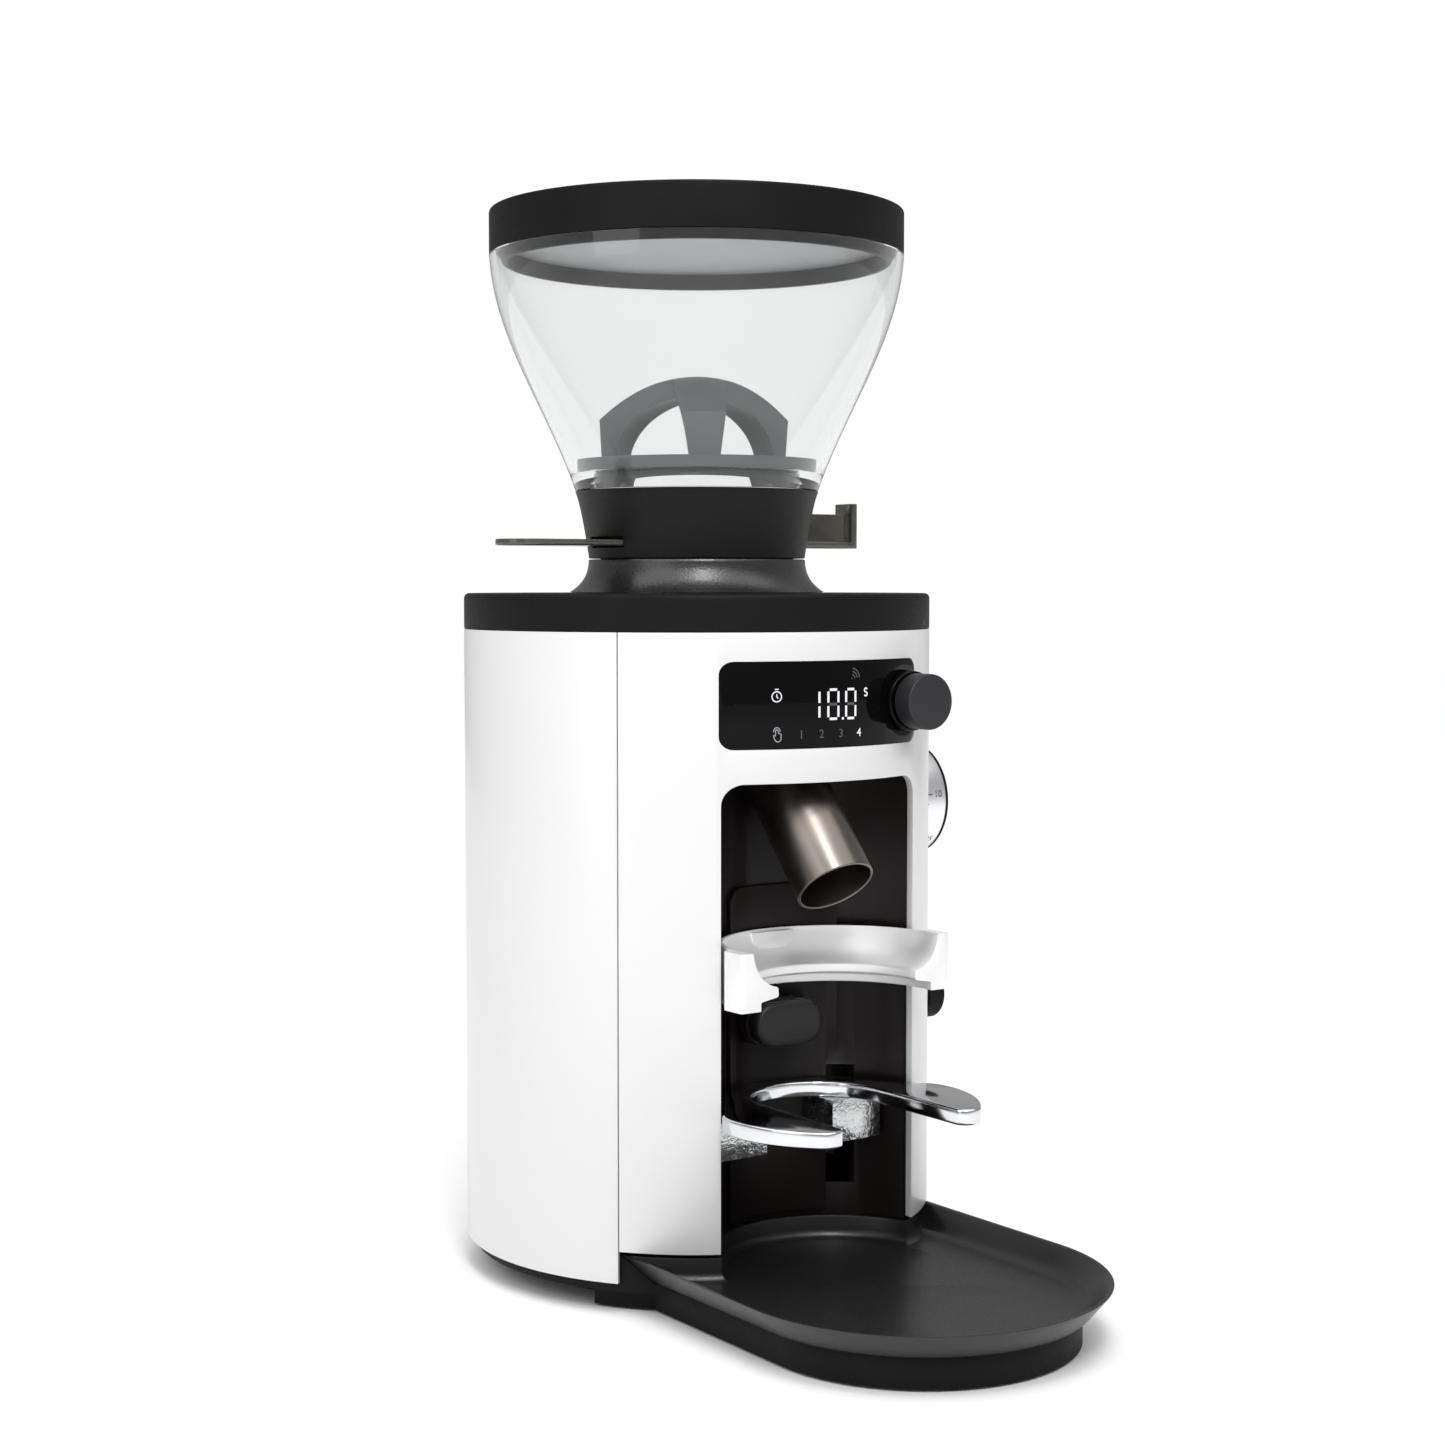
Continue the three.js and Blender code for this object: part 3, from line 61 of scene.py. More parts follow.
camera = bpy.data.objects.new("camera", bpy.data.cameras.new("camera"))
camera.data.lens = 59.67
camera.data.sensor_width = 36
camera.location = AXIS + EYE_FROM_AXIS
level = math.cos(VIEW_PITCH)
heading = Vector((VIEW_ACROSS * level, VIEW_AHEAD * level, -math.sin(VIEW_PITCH)))
camera.rotation_euler = heading.to_track_quat("-Z", "Y").to_euler()
scene.collection.objects.link(camera)
scene.camera = camera
scene.view_settings.view_transform = "Standard"

# ---------------------------------------------------------------------------- rubber feet
# Four round pads of natural rubber, moulded with a softened edge and pressed into pockets in the
# base. The rubber is dull, slightly dusty and a touch lighter where it is rubbed.


def linear(hex_colour):
    """An sRGB hex colour as linear red, green, blue and alpha."""
    parts = [int(hex_colour[i:i + 2], 16) / 255 for i in (0, 2, 4)]
    return [p / 12.92 if p <= 0.04045 else ((p + 0.055) / 1.055) ** 2.4 for p in parts] + [1.0]


def add_node(tree, kind, settings=None, links=None):
    """A new node with its settings, by socket or attribute name or by socket number, and links."""
    made = tree.nodes.new(kind)
    for name, value in (settings or {}).items():
        if isinstance(name, int) or name in made.inputs:
            made.inputs[name].default_value = value
        else:
            setattr(made, name, value)
    for name, source in (links or {}).items():
        tree.links.new(source, made.inputs[name])
    return made


def start_material(name, settings):
    """A material with a principled shader, its node tree, and the object's own coordinates."""
    material = bpy.data.materials.new(name)
    material.use_nodes = True
    tree = material.node_tree
    tree.nodes.clear()
    shader = add_node(tree, "ShaderNodeBsdfPrincipled", settings)
    output = add_node(tree, "ShaderNodeOutputMaterial", links={"Surface": shader.outputs["BSDF"]})
    output.target = "ALL"
    place = add_node(tree, "ShaderNodeTexCoord").outputs["Object"]
    return material, tree, shader, place


def grainy(name, dark, light, grain_mm, depth_mm, rough, settings=None):
    """A moulded or coated surface: two close colours in soft patches over a pebbled grain.

    The real grain of a few tenths of a millimetre is too fine to show, so it is drawn coarser.
    """
    patch_mm = 24
    material, tree, shader, place = start_material(name, settings or {})
    patches = add_node(
        tree, "ShaderNodeTexNoise", {"Scale": 1000 / patch_mm, "Detail": 3.0}, {"Vector": place})
    blend = add_node(
        tree, "ShaderNodeMix",
        {"data_type": "RGBA", 6: linear(dark), 7: linear(light)}, {0: patches.outputs["Fac"]})
    pebbles = add_node(
        tree, "ShaderNodeTexNoise", {"Scale": 1000 / grain_mm, "Detail": 2.0, "Roughness": 0.6},
        {"Vector": place})
    spread = add_node(
        tree, "ShaderNodeMapRange",
        {"From Min": 0.3, "From Max": 0.7, "To Min": rough[0], "To Max": rough[1]},
        {"Value": pebbles.outputs["Fac"]})
    bump = add_node(
        tree, "ShaderNodeBump", {"Strength": 1.0, "Distance": depth_mm / 1000},
        {"Height": pebbles.outputs["Fac"]})
    tree.links.new(blend.outputs[2], shader.inputs["Base Color"])
    tree.links.new(spread.outputs["Result"], shader.inputs["Roughness"])
    tree.links.new(bump.outputs["Normal"], shader.inputs["Normal"])
    return material


def metres(point):
    """A point in millimetres about the body's axis, as metres in the scene."""
    return AXIS + Vector(point) / 1000


def new_piece(name, vertices, faces, material, smooth_below=40):
    """A mesh from points in millimetres, faces turned outwards, shaded smooth below an angle."""
    mesh = bpy.data.meshes.new(name)
    mesh.from_pydata([metres(v) for v in vertices], [], faces)
    work = bmesh.new()
    work.from_mesh(mesh)
    bmesh.ops.remove_doubles(work, verts=work.verts, dist=1e-7)
    bmesh.ops.recalc_face_normals(work, faces=work.faces)
    work.to_mesh(mesh)
    work.free()
    mesh.materials.append(material)
    piece = bpy.data.objects.new(name, mesh)
    scene.collection.objects.link(piece)
    shade(piece, smooth_below)
    return piece


def shade(piece, smooth_below):
    """Shades a piece smooth, except over edges sharper than an angle in degrees."""
    piece.data.polygons.foreach_set("use_smooth", [True] * len(piece.data.polygons))
    piece.data.set_sharp_from_angle(angle=math.radians(smooth_below))


def turned(profile, steps=96):
    """Points and faces of a closed profile of (radius, height) turned about the upright axis."""
    vertices, rings, faces = [], [], []
    for radius, height in profile:
        start = len(vertices)
        count = steps if radius > 1e-6 else 1
        for i in range(count):
            angle = 2 * math.pi * i / steps
            vertices.append((radius * math.cos(angle), radius * math.sin(angle), height))
        rings.append([start + i % count for i in range(steps)])
    for k, ring in enumerate(rings):
        after = rings[(k + 1) % len(rings)]
        for i in range(steps):
            j = (i + 1) % steps
            corners = list(dict.fromkeys((ring[i], ring[j], after[j], after[i])))
            if len(corners) > 2:
                faces.append(corners)
    return vertices, faces


def fillet(corner, before, after, radius, steps=4):
    """Points that round a profile's corner, cut back by the radius towards its neighbours."""
    corner, before, after = Vector(corner), Vector(before), Vector(after)
    start = corner + (before - corner).normalized() * radius
    end = corner + (after - corner).normalized() * radius
    points = []
    for i in range(steps + 1):
        t = i / steps
        points.append(tuple(start * (1 - t) ** 2 + corner * 2 * t * (1 - t) + end * t ** 2))
    return points


def softened(profile, radii, steps=4):
    """A closed profile with the corners that radii names, by number, rounded."""
    points = []
    for i, corner in enumerate(profile):
        if i in radii:
            after = profile[(i + 1) % len(profile)]
            points += fillet(corner, profile[i - 1], after, radii[i], steps)
        else:
            points.append(corner)
    return points


def stand_for(piece, body, slot, *nodes):
    """The piece rides on a body and stands for its CAD nodes, hiding them; the slot argument is not used.
    """
    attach(piece, body)
    if nodes:
        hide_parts(*nodes)
    return piece


def size_of(node):
    """A node's lowest and highest corners in millimetres about the body's axis."""
    low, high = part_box(node)
    return (low - AXIS) * 1000, (high - AXIS) * 1000


rubber = grainy("natural_rubber", "101010", "1a1918", 0.8, 0.05, (0.75, 0.95), {"IOR": 1.52})
FOOT_EDGE = 0.8
for number in (1, 2, 3, 4):
    foot_low, foot_high = size_of(f"rubber_foot_{number}")
    centre = (foot_low + foot_high) / 2
    pad_radius = (foot_high.x - foot_low.x) / 2
    outline = softened(
        [(0, 0), (pad_radius, 0), (pad_radius, foot_high.z), (0, foot_high.z)], {1: FOOT_EDGE})
    points, faces = turned(outline, 48)
    points = [(x + centre.x, y + centre.y, z) for x, y, z in points]
    foot = new_piece(f"foot_pad_{number}", points, faces, rubber)
    stand_for(foot, "housing", "rubber", f"rubber_foot_{number}")

# ---------------------------------------------------------------------------- base pan
# The tray of the machine, injection moulded in black ABS with a spark-eroded surface: a fine
# pebbled grain that scatters light, so that the black reads as soft charcoal.


def refined(name, node, material, edge_mm, smooth_below=35):
    """A copy of a CAD node with its flat faces joined, its edges rounded and its curves smooth."""
    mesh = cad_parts[node].data.copy()
    mesh.materials.clear()
    mesh.materials.append(material)
    work = bmesh.new()
    work.from_mesh(mesh)
    bmesh.ops.remove_doubles(work, verts=work.verts, dist=1e-6)
    bmesh.ops.dissolve_limit(
        work, angle_limit=math.radians(0.6), verts=work.verts, edges=work.edges)
    work.to_mesh(mesh)
    work.free()
    piece = bpy.data.objects.new(name, mesh)
    scene.collection.objects.link(piece)
    round_edges(piece, edge_mm, smooth_below)
    return piece


def settle(piece):
    """Turns a piece and its modifiers into plain mesh."""
    depsgraph = bpy.context.evaluated_depsgraph_get()
    made = bpy.data.meshes.new_from_object(piece.evaluated_get(depsgraph))
    piece.modifiers.clear()
    piece.data = made


def round_edges(piece, edge_mm, smooth_below=35, segments=2):
    """Rounds every edge sharper than an angle, and shades the piece to match."""
    if edge_mm:
        bevel = piece.modifiers.new("edge", "BEVEL")
        bevel.width = edge_mm / 1000
        bevel.segments = segments
        bevel.limit_method = "ANGLE"
        bevel.angle_limit = math.radians(smooth_below)
        bevel.use_clamp_overlap = True
        settle(piece)
    shade(piece, smooth_below + 8)


black_abs = grainy(
    "black_moulded_abs", "0d0c0c", "151414", 0.9, 0.05, (0.46, 0.6),
    {"IOR": 1.53, "Specular IOR Level": 0.1})
base = refined("base_shell", "base_pan", black_abs, 0.5)
stand_for(base, "housing", "black_plastic", "base_pan")

# ---------------------------------------------------------------------------- drip tray
# A pressed steel tray, powder coated in satin black: a fine even sparkle on the floor, a thin
# bright line along the rolled rim, and a soft fillet where the floor meets the wall.
tray_low, tray_high = size_of("drip_tray")
TRAY_HALF = tray_high.x
TRAY_CENTRE_Y = tray_low.y + TRAY_HALF
RECESS_Y = -size_of("rear_shell")[1].x
BODY_R = -RECESS_Y
TONGUE_R = tray_high.y - RECESS_Y
TRAY_BACK_R = BODY_R - 4
TAPER = 8.85


def arc_points(centre, radius, start, end, steps):
    """Points along an arc, angles in radians from +X, both ends included."""
    turn = (end - start) / steps
    return [
        (centre[0] + radius * math.cos(start + turn * i), centre[1] + radius * math.sin(start + turn * i))
        for i in range(steps + 1)
    ]


def tray_outline(half, back, tongue):
    """The tray's outline at one level: round front, straight sides, body arc and recess tongue."""
    side_y = -math.sqrt(back ** 2 - half ** 2)
    lift = (back ** 2 - tongue ** 2 + RECESS_Y ** 2) / (-2 * RECESS_Y)
    meet = (math.sqrt(back ** 2 - lift ** 2), -lift)
    side_angle = math.atan2(side_y, half)
    meet_angle = math.atan2(meet[1], meet[0])
    tongue_angle = math.atan2(meet[1] - RECESS_Y, meet[0])
    right = arc_points((0, 0), back, side_angle, meet_angle, 12)
    rear = arc_points((0, RECESS_Y), tongue, tongue_angle, math.pi - tongue_angle, 48)
    left = [(-x, y) for x, y in reversed(right)]
    front = arc_points((0, TRAY_CENTRE_Y), half, math.pi, 2 * math.pi, 72)
    return right + rear[1:-1] + left + front


def sides_between(rows, count):
    """Faces round a solid, between each closed row of so many points and the next row."""
    faces = []
    for k in range(rows - 1):
        for i in range(count):
            j = (i + 1) % count
            faces.append([k * count + i, k * count + j, (k + 1) * count + j, (k + 1) * count + i])
    return faces


def loft(levels):
    """Points and faces of a solid through closed outlines of equal length at given heights."""
    vertices = [(x, y, z) for outline, z in levels for x, y in outline]
    count = len(levels[0][0])
    bottom, top = list(reversed(range(count))), [len(vertices) - count + i for i in range(count)]
    return vertices, [bottom] + sides_between(len(levels), count) + [top]


def tray_level(inset, z):
    """The outline at a height, drawn in from the rim's outer line on every side."""
    taper = TAPER * (tray_high.z - z) / (tray_high.z - tray_low.z)
    return tray_outline(TRAY_HALF - taper - inset, TRAY_BACK_R + inset, TONGUE_R - inset), z


TRAY_WALL = 1.9
TRAY_FLOOR_Z = tray_low.z + 1.5
TRAY_FILLET = 3.4
foot_edge = [(1.4, 0), (0.35, 0.35), (0, 1.2)]
rolled_rim = [
    (0, -0.6), (0.25, -0.12), (0.7, 0), (1.2, 0), (TRAY_WALL - 0.2, -0.15), (TRAY_WALL, -0.7)]
levels = [tray_level(inset, tray_low.z + up) for inset, up in foot_edge]
levels += [tray_level(inset, tray_high.z + up) for inset, up in rolled_rim]
levels.append(tray_level(TRAY_WALL, TRAY_FLOOR_Z + TRAY_FILLET))
for step in range(1, 6):
    turn = math.pi / 2 * step / 5
    inset = TRAY_WALL + TRAY_FILLET * (1 - math.cos(turn))
    levels.append(tray_level(inset, TRAY_FLOOR_Z + TRAY_FILLET * (1 - math.sin(turn))))

powder_coat = grainy(
    "satin_black_powder_coat", "121112", "191819", 0.9, 0.05, (0.28, 0.4),
    {"IOR": 1.5, "Specular IOR Level": 0.5})
tray = new_piece("drip_tray_pan", *loft(levels), powder_coat, 50)
stand_for(tray, "tray", "black_plastic", "drip_tray")

# ---------------------------------------------------------------------------- inner frame
# What the shells hide: turned steel posts and die-cast plates. The steel is plain machined bar
# with fine lathe rings; the castings have a dull, slightly mottled skin.


def machined(name, hex_colour, pitch_mm, rough):
    """Bare metal with tool marks round the upright axis, drawn coarser than a lathe leaves them."""
    material, tree, shader, place = start_material(
        name, {"Base Color": linear(hex_colour), "Metallic": 1.0, "Roughness": rough})
    marks = add_node(
        tree, "ShaderNodeTexWave",
        {"wave_type": "RINGS", "rings_direction": "Z", "Scale": 1000 / pitch_mm / 6.3, "Distortion": 1.5},
        {"Vector": place})
    bump = add_node(
        tree, "ShaderNodeBump", {"Strength": 0.4, "Distance": 0.00003}, {"Height": marks.outputs["Fac"]})
    tree.links.new(bump.outputs["Normal"], shader.inputs["Normal"])
    return material


steel = machined("machined_steel", "b4b5b6", 0.8, 0.32)
casting = grainy(
    "die_cast_aluminium", "9b9c9e", "b3b4b6", 1.1, 0.05, (0.42, 0.6), {"Metallic": 1.0})
copper = machined("enamelled_copper_winding", "9a5f38", 0.9, 0.35)
circuit_board = grainy(
    "green_circuit_board", "1a4d31", "21603c", 1.5, 0.03, (0.35, 0.5), {"IOR": 1.55})
grey_nylon = grainy("grey_moulded_nylon", "53585a", "5c6163", 1.2, 0.008, (0.38, 0.48), {"IOR": 1.53})
for material, names in (
    (steel, ("frame_post_1", "frame_post_2", "frame_post_3", "fork_carriage", "clamp_guide",
             "clamp_screw", "motor_housing", "drive_shaft", "lower_bearing", "upper_bearing",
             "adjusting_ring", "dial_shaft", "lower_burr", "upper_burr", "knob_encoder", "knob_shaft")),
    (casting, ("motor_plate", "chamber_plate", "bearing_carrier", "grind_chamber",
               "lower_burr_carrier", "upper_burr_carrier", "rotor")),
    (copper, ("stator",)),
    (circuit_board, ("start_switch", "display_board", "power_board")),
    (grey_nylon, ("cooling_fan",)),
):
    for name in names:
        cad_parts[name].data.materials.clear()
        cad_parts[name].data.materials.append(material)

# ---------------------------------------------------------------------------- rear shell
# Sheet steel rolled to a cylinder and sprayed in gloss white lacquer. The lacquer has a very faint
# orange peel, and its cut edges are rounded by the paint. Slots at the back let the motor breathe.


def lacquer(name, dark, light):
    """Sprayed gloss paint: an even colour with a soft clear coat over broad, shallow orange peel."""
    material, tree, shader, place = start_material(
        name, {"Roughness": 0.34, "IOR": 1.5, "Coat Weight": 0.25, "Coat Roughness": 0.12})
    drift_mm, peel_mm = 120, 3.0
    drift = add_node(
        tree, "ShaderNodeTexNoise", {"Scale": 1000 / drift_mm, "Detail": 1.0}, {"Vector": place})
    tint = add_node(
        tree, "ShaderNodeMix",
        {"data_type": "RGBA", 6: linear(dark), 7: linear(light)}, {0: drift.outputs["Fac"]})
    peel = add_node(
        tree, "ShaderNodeTexNoise", {"Scale": 1000 / peel_mm, "Detail": 1.5}, {"Vector": place})
    bump = add_node(
        tree, "ShaderNodeBump", {"Strength": 0.5, "Distance": 0.00001}, {"Height": peel.outputs["Fac"]})
    tree.links.new(tint.outputs[2], shader.inputs["Base Color"])
    tree.links.new(bump.outputs["Normal"], shader.inputs["Normal"])
    return material


def prism(outline, low, high):
    """Points and faces of an outline pushed up from one height to another."""
    return loft([(outline, low), (outline, high)])


def wall_outline(outer, inner, start, end, steps, centre=(0, 0)):
    """A curved wall seen from above, between two angles in degrees from the front towards +X."""
    first, last = math.radians(start - 90), math.radians(end - 90)
    return arc_points(centre, outer, first, last, steps) + arc_points(centre, inner, last, first, steps)


def circle(radius, steps, centre=(0, 0)):
    """A closed circle's points."""
    return arc_points(centre, radius, 0, 2 * math.pi, steps)[:-1]


def tool(points, faces, matrix=None):
    """A solid that another is cut or joined with."""
    if matrix:
        points = [matrix @ Vector(p) for p in points]
    return new_piece("tool", points, faces, white)


def combine(piece, tools, operation="DIFFERENCE"):
    """Cuts a piece with the tools, or joins or crosses it with them, and drops the tools."""
    for other in tools:
        modifier = piece.modifiers.new("shape", "BOOLEAN")
        modifier.operation = operation
        modifier.solver = "EXACT"
        modifier.object = other
    bpy.context.view_layer.update()
    settle(piece)
    for other in tools:
        bpy.data.objects.remove(other)
    return piece


def rounded_box(width, height, corner, steps=8):
    """A rectangle's outline with round corners, about its middle."""
    points = []
    for quarter, (sx, sy) in enumerate(((1, 1), (-1, 1), (-1, -1), (1, -1))):
        centre = (sx * (width / 2 - corner), sy * (height / 2 - corner))
        points += arc_points(centre, corner, quarter * math.pi / 2, (quarter + 1) * math.pi / 2, steps)
    return points


# Turns a shape drawn in X and Y and pushed up Z into one drawn in X and Z and pushed towards +Y.
FACING = Matrix(((1, 0, 0, 0), (0, 0, 1, 0), (0, 1, 0, 0), (0, 0, 0, 1)))


def punch(outline, x, z, near, far):
    """A cutting tool of an upright outline, centred at (x, z), from one depth to another."""
    return tool(*prism(outline, near, far), Matrix.Translation((x, 0, z)) @ FACING)


white = lacquer("gloss_white_lacquer", "d0d0d0", "d4d4d4")
rear_low, rear_high = size_of("rear_shell")
panel_low, panel_high = size_of("front_panel")
SEAM = math.degrees(math.asin(panel_high.x / BODY_R))
SEAM_GAP = 0.35
rear_wall = wall_outline(BODY_R, BODY_R - 2, SEAM + SEAM_GAP, 360 - SEAM_GAP - SEAM, 128)
rear = new_piece("rear_cover", *prism(rear_wall, rear_low.z, rear_high.z), white)
VENTS, VENT_PITCH, LOWEST_VENT = 7, 9, 71.75
slot = rounded_box(60, 3.5, 1.74)
vents = [
    punch(slot, 0, LOWEST_VENT + VENT_PITCH * row, BODY_R - 12, BODY_R + 5) for row in range(VENTS)
]
inlet_low, inlet_high = size_of("mains_inlet")
switch_low, switch_high = size_of("rocker_frame")
for low, high in ((inlet_low, inlet_high), (switch_low, switch_high)):
    window = rounded_box(high.x - low.x + 0.6, high.z - low.z + 0.6, 1.2)
    vents.append(punch(window, (low.x + high.x) / 2, (low.z + high.z) / 2, BODY_R / 2, BODY_R + 5))
drum_low, drum_high = size_of("dial_drum")
DIAL_Z = (drum_low.z + drum_high.z) / 2
clamp_low, clamp_high = size_of("clamp_knob")
CLAMP_Y, CLAMP_Z = (clamp_low.y + clamp_high.y) / 2, (clamp_low.z + clamp_high.z) / 2
SIDEWAYS = Matrix.Rotation(math.pi / 2, 4, "Y")
for hole, y, z in ((6, 0, DIAL_Z), (4, CLAMP_Y, CLAMP_Z)):
    bar = [(0, BODY_R - 10), (hole, BODY_R - 10), (hole, BODY_R + 10), (0, BODY_R + 10)]
    vents.append(tool(*turned(bar, 32), Matrix.Translation((0, y, z)) @ SIDEWAYS))
combine(rear, vents)
round_edges(rear, 0.5)
stand_for(rear, "housing", "white_shell", "rear_shell")

# ---------------------------------------------------------------------------- front panel
# The same white lacquer on a thicker moulded panel, with rounded edges round the display window
# and the tall opening of the recess. Fine dark seams divide it from the rear cover.
lens_low, lens_high = size_of("display_lens")
bezel_low, bezel_high = size_of("knob_bezel")
KNOB_X, KNOB_Z = (bezel_low.x + bezel_high.x) / 2, (bezel_low.z + bezel_high.z) / 2
BEZEL_R = (bezel_high.x - bezel_low.x) / 2
RECESS_TOP = size_of("recess_liner")[1].z - 2
RECESS_HALF = 46.35
front_wall = wall_outline(BODY_R, BODY_R - 3, -SEAM, SEAM, 96)
front = new_piece("front_cover", *prism(front_wall, panel_low.z, panel_high.z), white)
LENS_Z = (lens_low.z + lens_high.z) / 2
LENS_W, LENS_H = lens_high.x - lens_low.x, lens_high.z - lens_low.z
opening_height = RECESS_TOP - panel_low.z + 20


def front_cut(outline, x, z, ahead=5):
    """A cutting tool of an upright outline through the front wall, starting ahead of it."""
    return punch(outline, x, z, -BODY_R - ahead, -BODY_R / 2)


def knob_cut():
    """A cutting tool that leaves room round the knob's collar."""
    return front_cut(circle(BEZEL_R + 0.3, 64), KNOB_X, KNOB_Z, 20)


combine(front, [
    front_cut(rounded_box(2 * RECESS_HALF, opening_height, 8), 0, RECESS_TOP - opening_height / 2),
    front_cut(rounded_box(LENS_W + 0.6, LENS_H + 0.6, 5), 0, LENS_Z),
    knob_cut(),
])
round_edges(front, 0.7)
stand_for(front, "housing", "white_shell", "front_panel")

# ---------------------------------------------------------------------------- recess liner
# A deep half-round channel moulded in black ABS behind the opening, with slots that the fork's
# arms run in. It has the same fine grain as the base but is smoother, so it shows a dim sheen.
liner_abs = grainy(
    "smooth_black_abs", "100c0b", "171211", 0.9, 0.015, (0.34, 0.46),
    {"IOR": 1.53, "Specular IOR Level": 0.2})
liner = refined("recess_channel", "recess_liner", liner_abs, 0.3)
stand_for(liner, "housing", "black_plastic", "recess_liner")

# ---------------------------------------------------------------------------- service cover
# A thin curved door clipped to the back of the channel, with one rounded upper corner and a fine
# step round its edge that catches the light. It gives access to the fork's clamp.
cover_low, cover_high = size_of("service_cover")
COVER_OUT, COVER_IN = 49.0, 47.3
COVER_START, COVER_END = 143, 205  # degrees from the front
cover_wall = wall_outline(COVER_OUT, COVER_IN, COVER_START, COVER_END, 40, (0, RECESS_Y))
cover = new_piece("service_door", *prism(cover_wall, cover_low.z, cover_high.z), liner_abs)
CORNER = 8
corner_tool = combine(
    punch([(-40, 0), (0, 0), (0, 40), (-40, 40)], 0, 0, -BODY_R, 0),
    [punch(circle(CORNER, 48), 0, 0, -BODY_R - 1, 1)])
to_corner = Vector((cover_low.x + CORNER, 0, cover_high.z - CORNER)) / 1000
corner_tool.data.transform(Matrix.Translation(to_corner))
housing_low, housing_high = size_of("button_housing")
BUTTON_Z = (housing_low.z + housing_high.z) / 2
PILL_W, PILL_H = housing_high.x - housing_low.x, housing_high.z - housing_low.z
ARM_X, ARM_HALF, ARM_HEIGHT, FORK_RISE, ARM_ROOM = 30, 5, 12, 12, 8
arm_top = size_of("fork_carriage")[0].z + ARM_HEIGHT + FORK_RISE + ARM_ROOM
arm_slot = [(-ARM_HALF, 0), (ARM_HALF, 0), (ARM_HALF, arm_top), (-ARM_HALF, arm_top)]
button_hole = rounded_box(PILL_W + 0.6, PILL_H + 0.6, PILL_H / 2 + 0.29)
combine(cover, [corner_tool, punch(button_hole, 0, BUTTON_Z, -80, -40)]
        + [punch(arm_slot, x, 0, -BODY_R + 20, -40) for x in (-ARM_X, ARM_X)])
round_edges(cover, 0.35)
stand_for(cover, "housing", "black_plastic", "service_cover")

# ---------------------------------------------------------------------------- display window
# One curved sheet of smoked, polished acrylic set flush in the panel. Switched off it is a deep
# gloss black; light from the digits behind passes through it.
gloss_black, gloss_tree, gloss_shader, gloss_place = start_material(
    "smoked_polished_acrylic", {"Roughness": 0.06, "IOR": 1.49, "Specular IOR Level": 0.1})
haze = add_node(
    gloss_tree, "ShaderNodeTexNoise", {"Scale": 1000 / 40, "Detail": 2.0}, {"Vector": gloss_place})
smoke_tint = add_node(
    gloss_tree, "ShaderNodeMix",
    {"data_type": "RGBA", 6: linear("050505"), 7: linear("0a0a0b")}, {0: haze.outputs["Fac"]})
gloss_tree.links.new(smoke_tint.outputs[2], gloss_shader.inputs["Base Color"])

lens_wall = wall_outline(BODY_R - 0.05, BODY_R - 2.4, -SEAM, SEAM, 96)
lens = new_piece("display_window", *prism(lens_wall, lens_low.z, lens_high.z), gloss_black)
combine(lens, [front_cut(rounded_box(LENS_W, LENS_H, 4.7), 0, LENS_Z)], "INTERSECT")
combine(lens, [knob_cut()])
round_edges(lens, 0.25)
stand_for(lens, "housing", "black_gloss", "display_lens")

# ---------------------------------------------------------------------------- lit symbols
# Light from small LEDs, masked to shape behind the window: a seven-segment reading, a timer, a
# touch symbol and four preset numbers. What is lit is cool white, the rest shows as dim grey.


def lit(name, dark, light, strength):
    """LED light through smoked acrylic, with the slight unevenness of a diffuser film."""
    material, tree, shader, place = start_material(
        name, {"Base Color": linear("202020"), "Roughness": 0.3, "Emission Strength": strength})
    film = add_node(tree, "ShaderNodeTexNoise", {"Scale": 1000 / 1.5}, {"Vector": place})
    glow = add_node(
        tree, "ShaderNodeMix",
        {"data_type": "RGBA", 6: linear(dark), 7: linear(light)}, {0: film.outputs["Fac"]})
    tree.links.new(glow.outputs[2], shader.inputs["Emission Color"])
    return material


bright = lit("led_white", "f2f4ff", "ffffff", 1.0)
dim = lit("led_dim_grey", "6c6c70", "6c6c70", 0.45)
blueish = lit("led_dim_blue", "8080a8", "ffffff", 0.6)
LIT_R = BODY_R - 0.01
SYMBOL_DEPTH = 0.04


def on_window(x, z, radius):
    """A point of the flat drawing of the window, wrapped round the body."""
    return radius * math.sin(x / BODY_R), -radius * math.cos(x / BODY_R), z


def strokes(name, lines, width, material, x, z):
    """Thin raised lines through flat points, each a closed strip wrapped on the window."""
    vertices, faces = [], []
    for line in lines:
        closed = line[0] == line[-1]
        dense = [
            (a[0] + (b[0] - a[0]) * i / 3, a[1] + (b[1] - a[1]) * i / 3)
            for a, b in zip(line, line[1:]) for i in range(3)
        ]
        if not closed:
            dense.append(line[-1])
        count, start = len(dense), len(vertices)
        for i, (px, pz) in enumerate(dense):
            before = dense[i - 1] if i or closed else dense[0]
            after = dense[(i + 1) % count] if i < count - 1 or closed else dense[-1]
            along = Vector((after[0] - before[0], after[1] - before[1])).normalized() * width / 2
            for side, depth in ((1, 0), (-1, 0), (-1, SYMBOL_DEPTH), (1, SYMBOL_DEPTH)):
                vertices.append(
                    on_window(x + px - side * along.y, z + pz + side * along.x, LIT_R - depth))
        for i in range(count if closed else count - 1):
            j = (i + 1) % count
            for k in range(4):
                m = (k + 1) % 4
                faces.append([start + 4 * i + k, start + 4 * i + m, start + 4 * j + m, start + 4 * j + k])
        if not closed:
            faces.append([start + k for k in (3, 2, 1, 0)])
            faces.append([start + 4 * (count - 1) + k for k in (0, 1, 2, 3)])
    piece = new_piece(name, vertices, faces, material, 60)
    return stand_for(piece, "housing", "black_gloss")


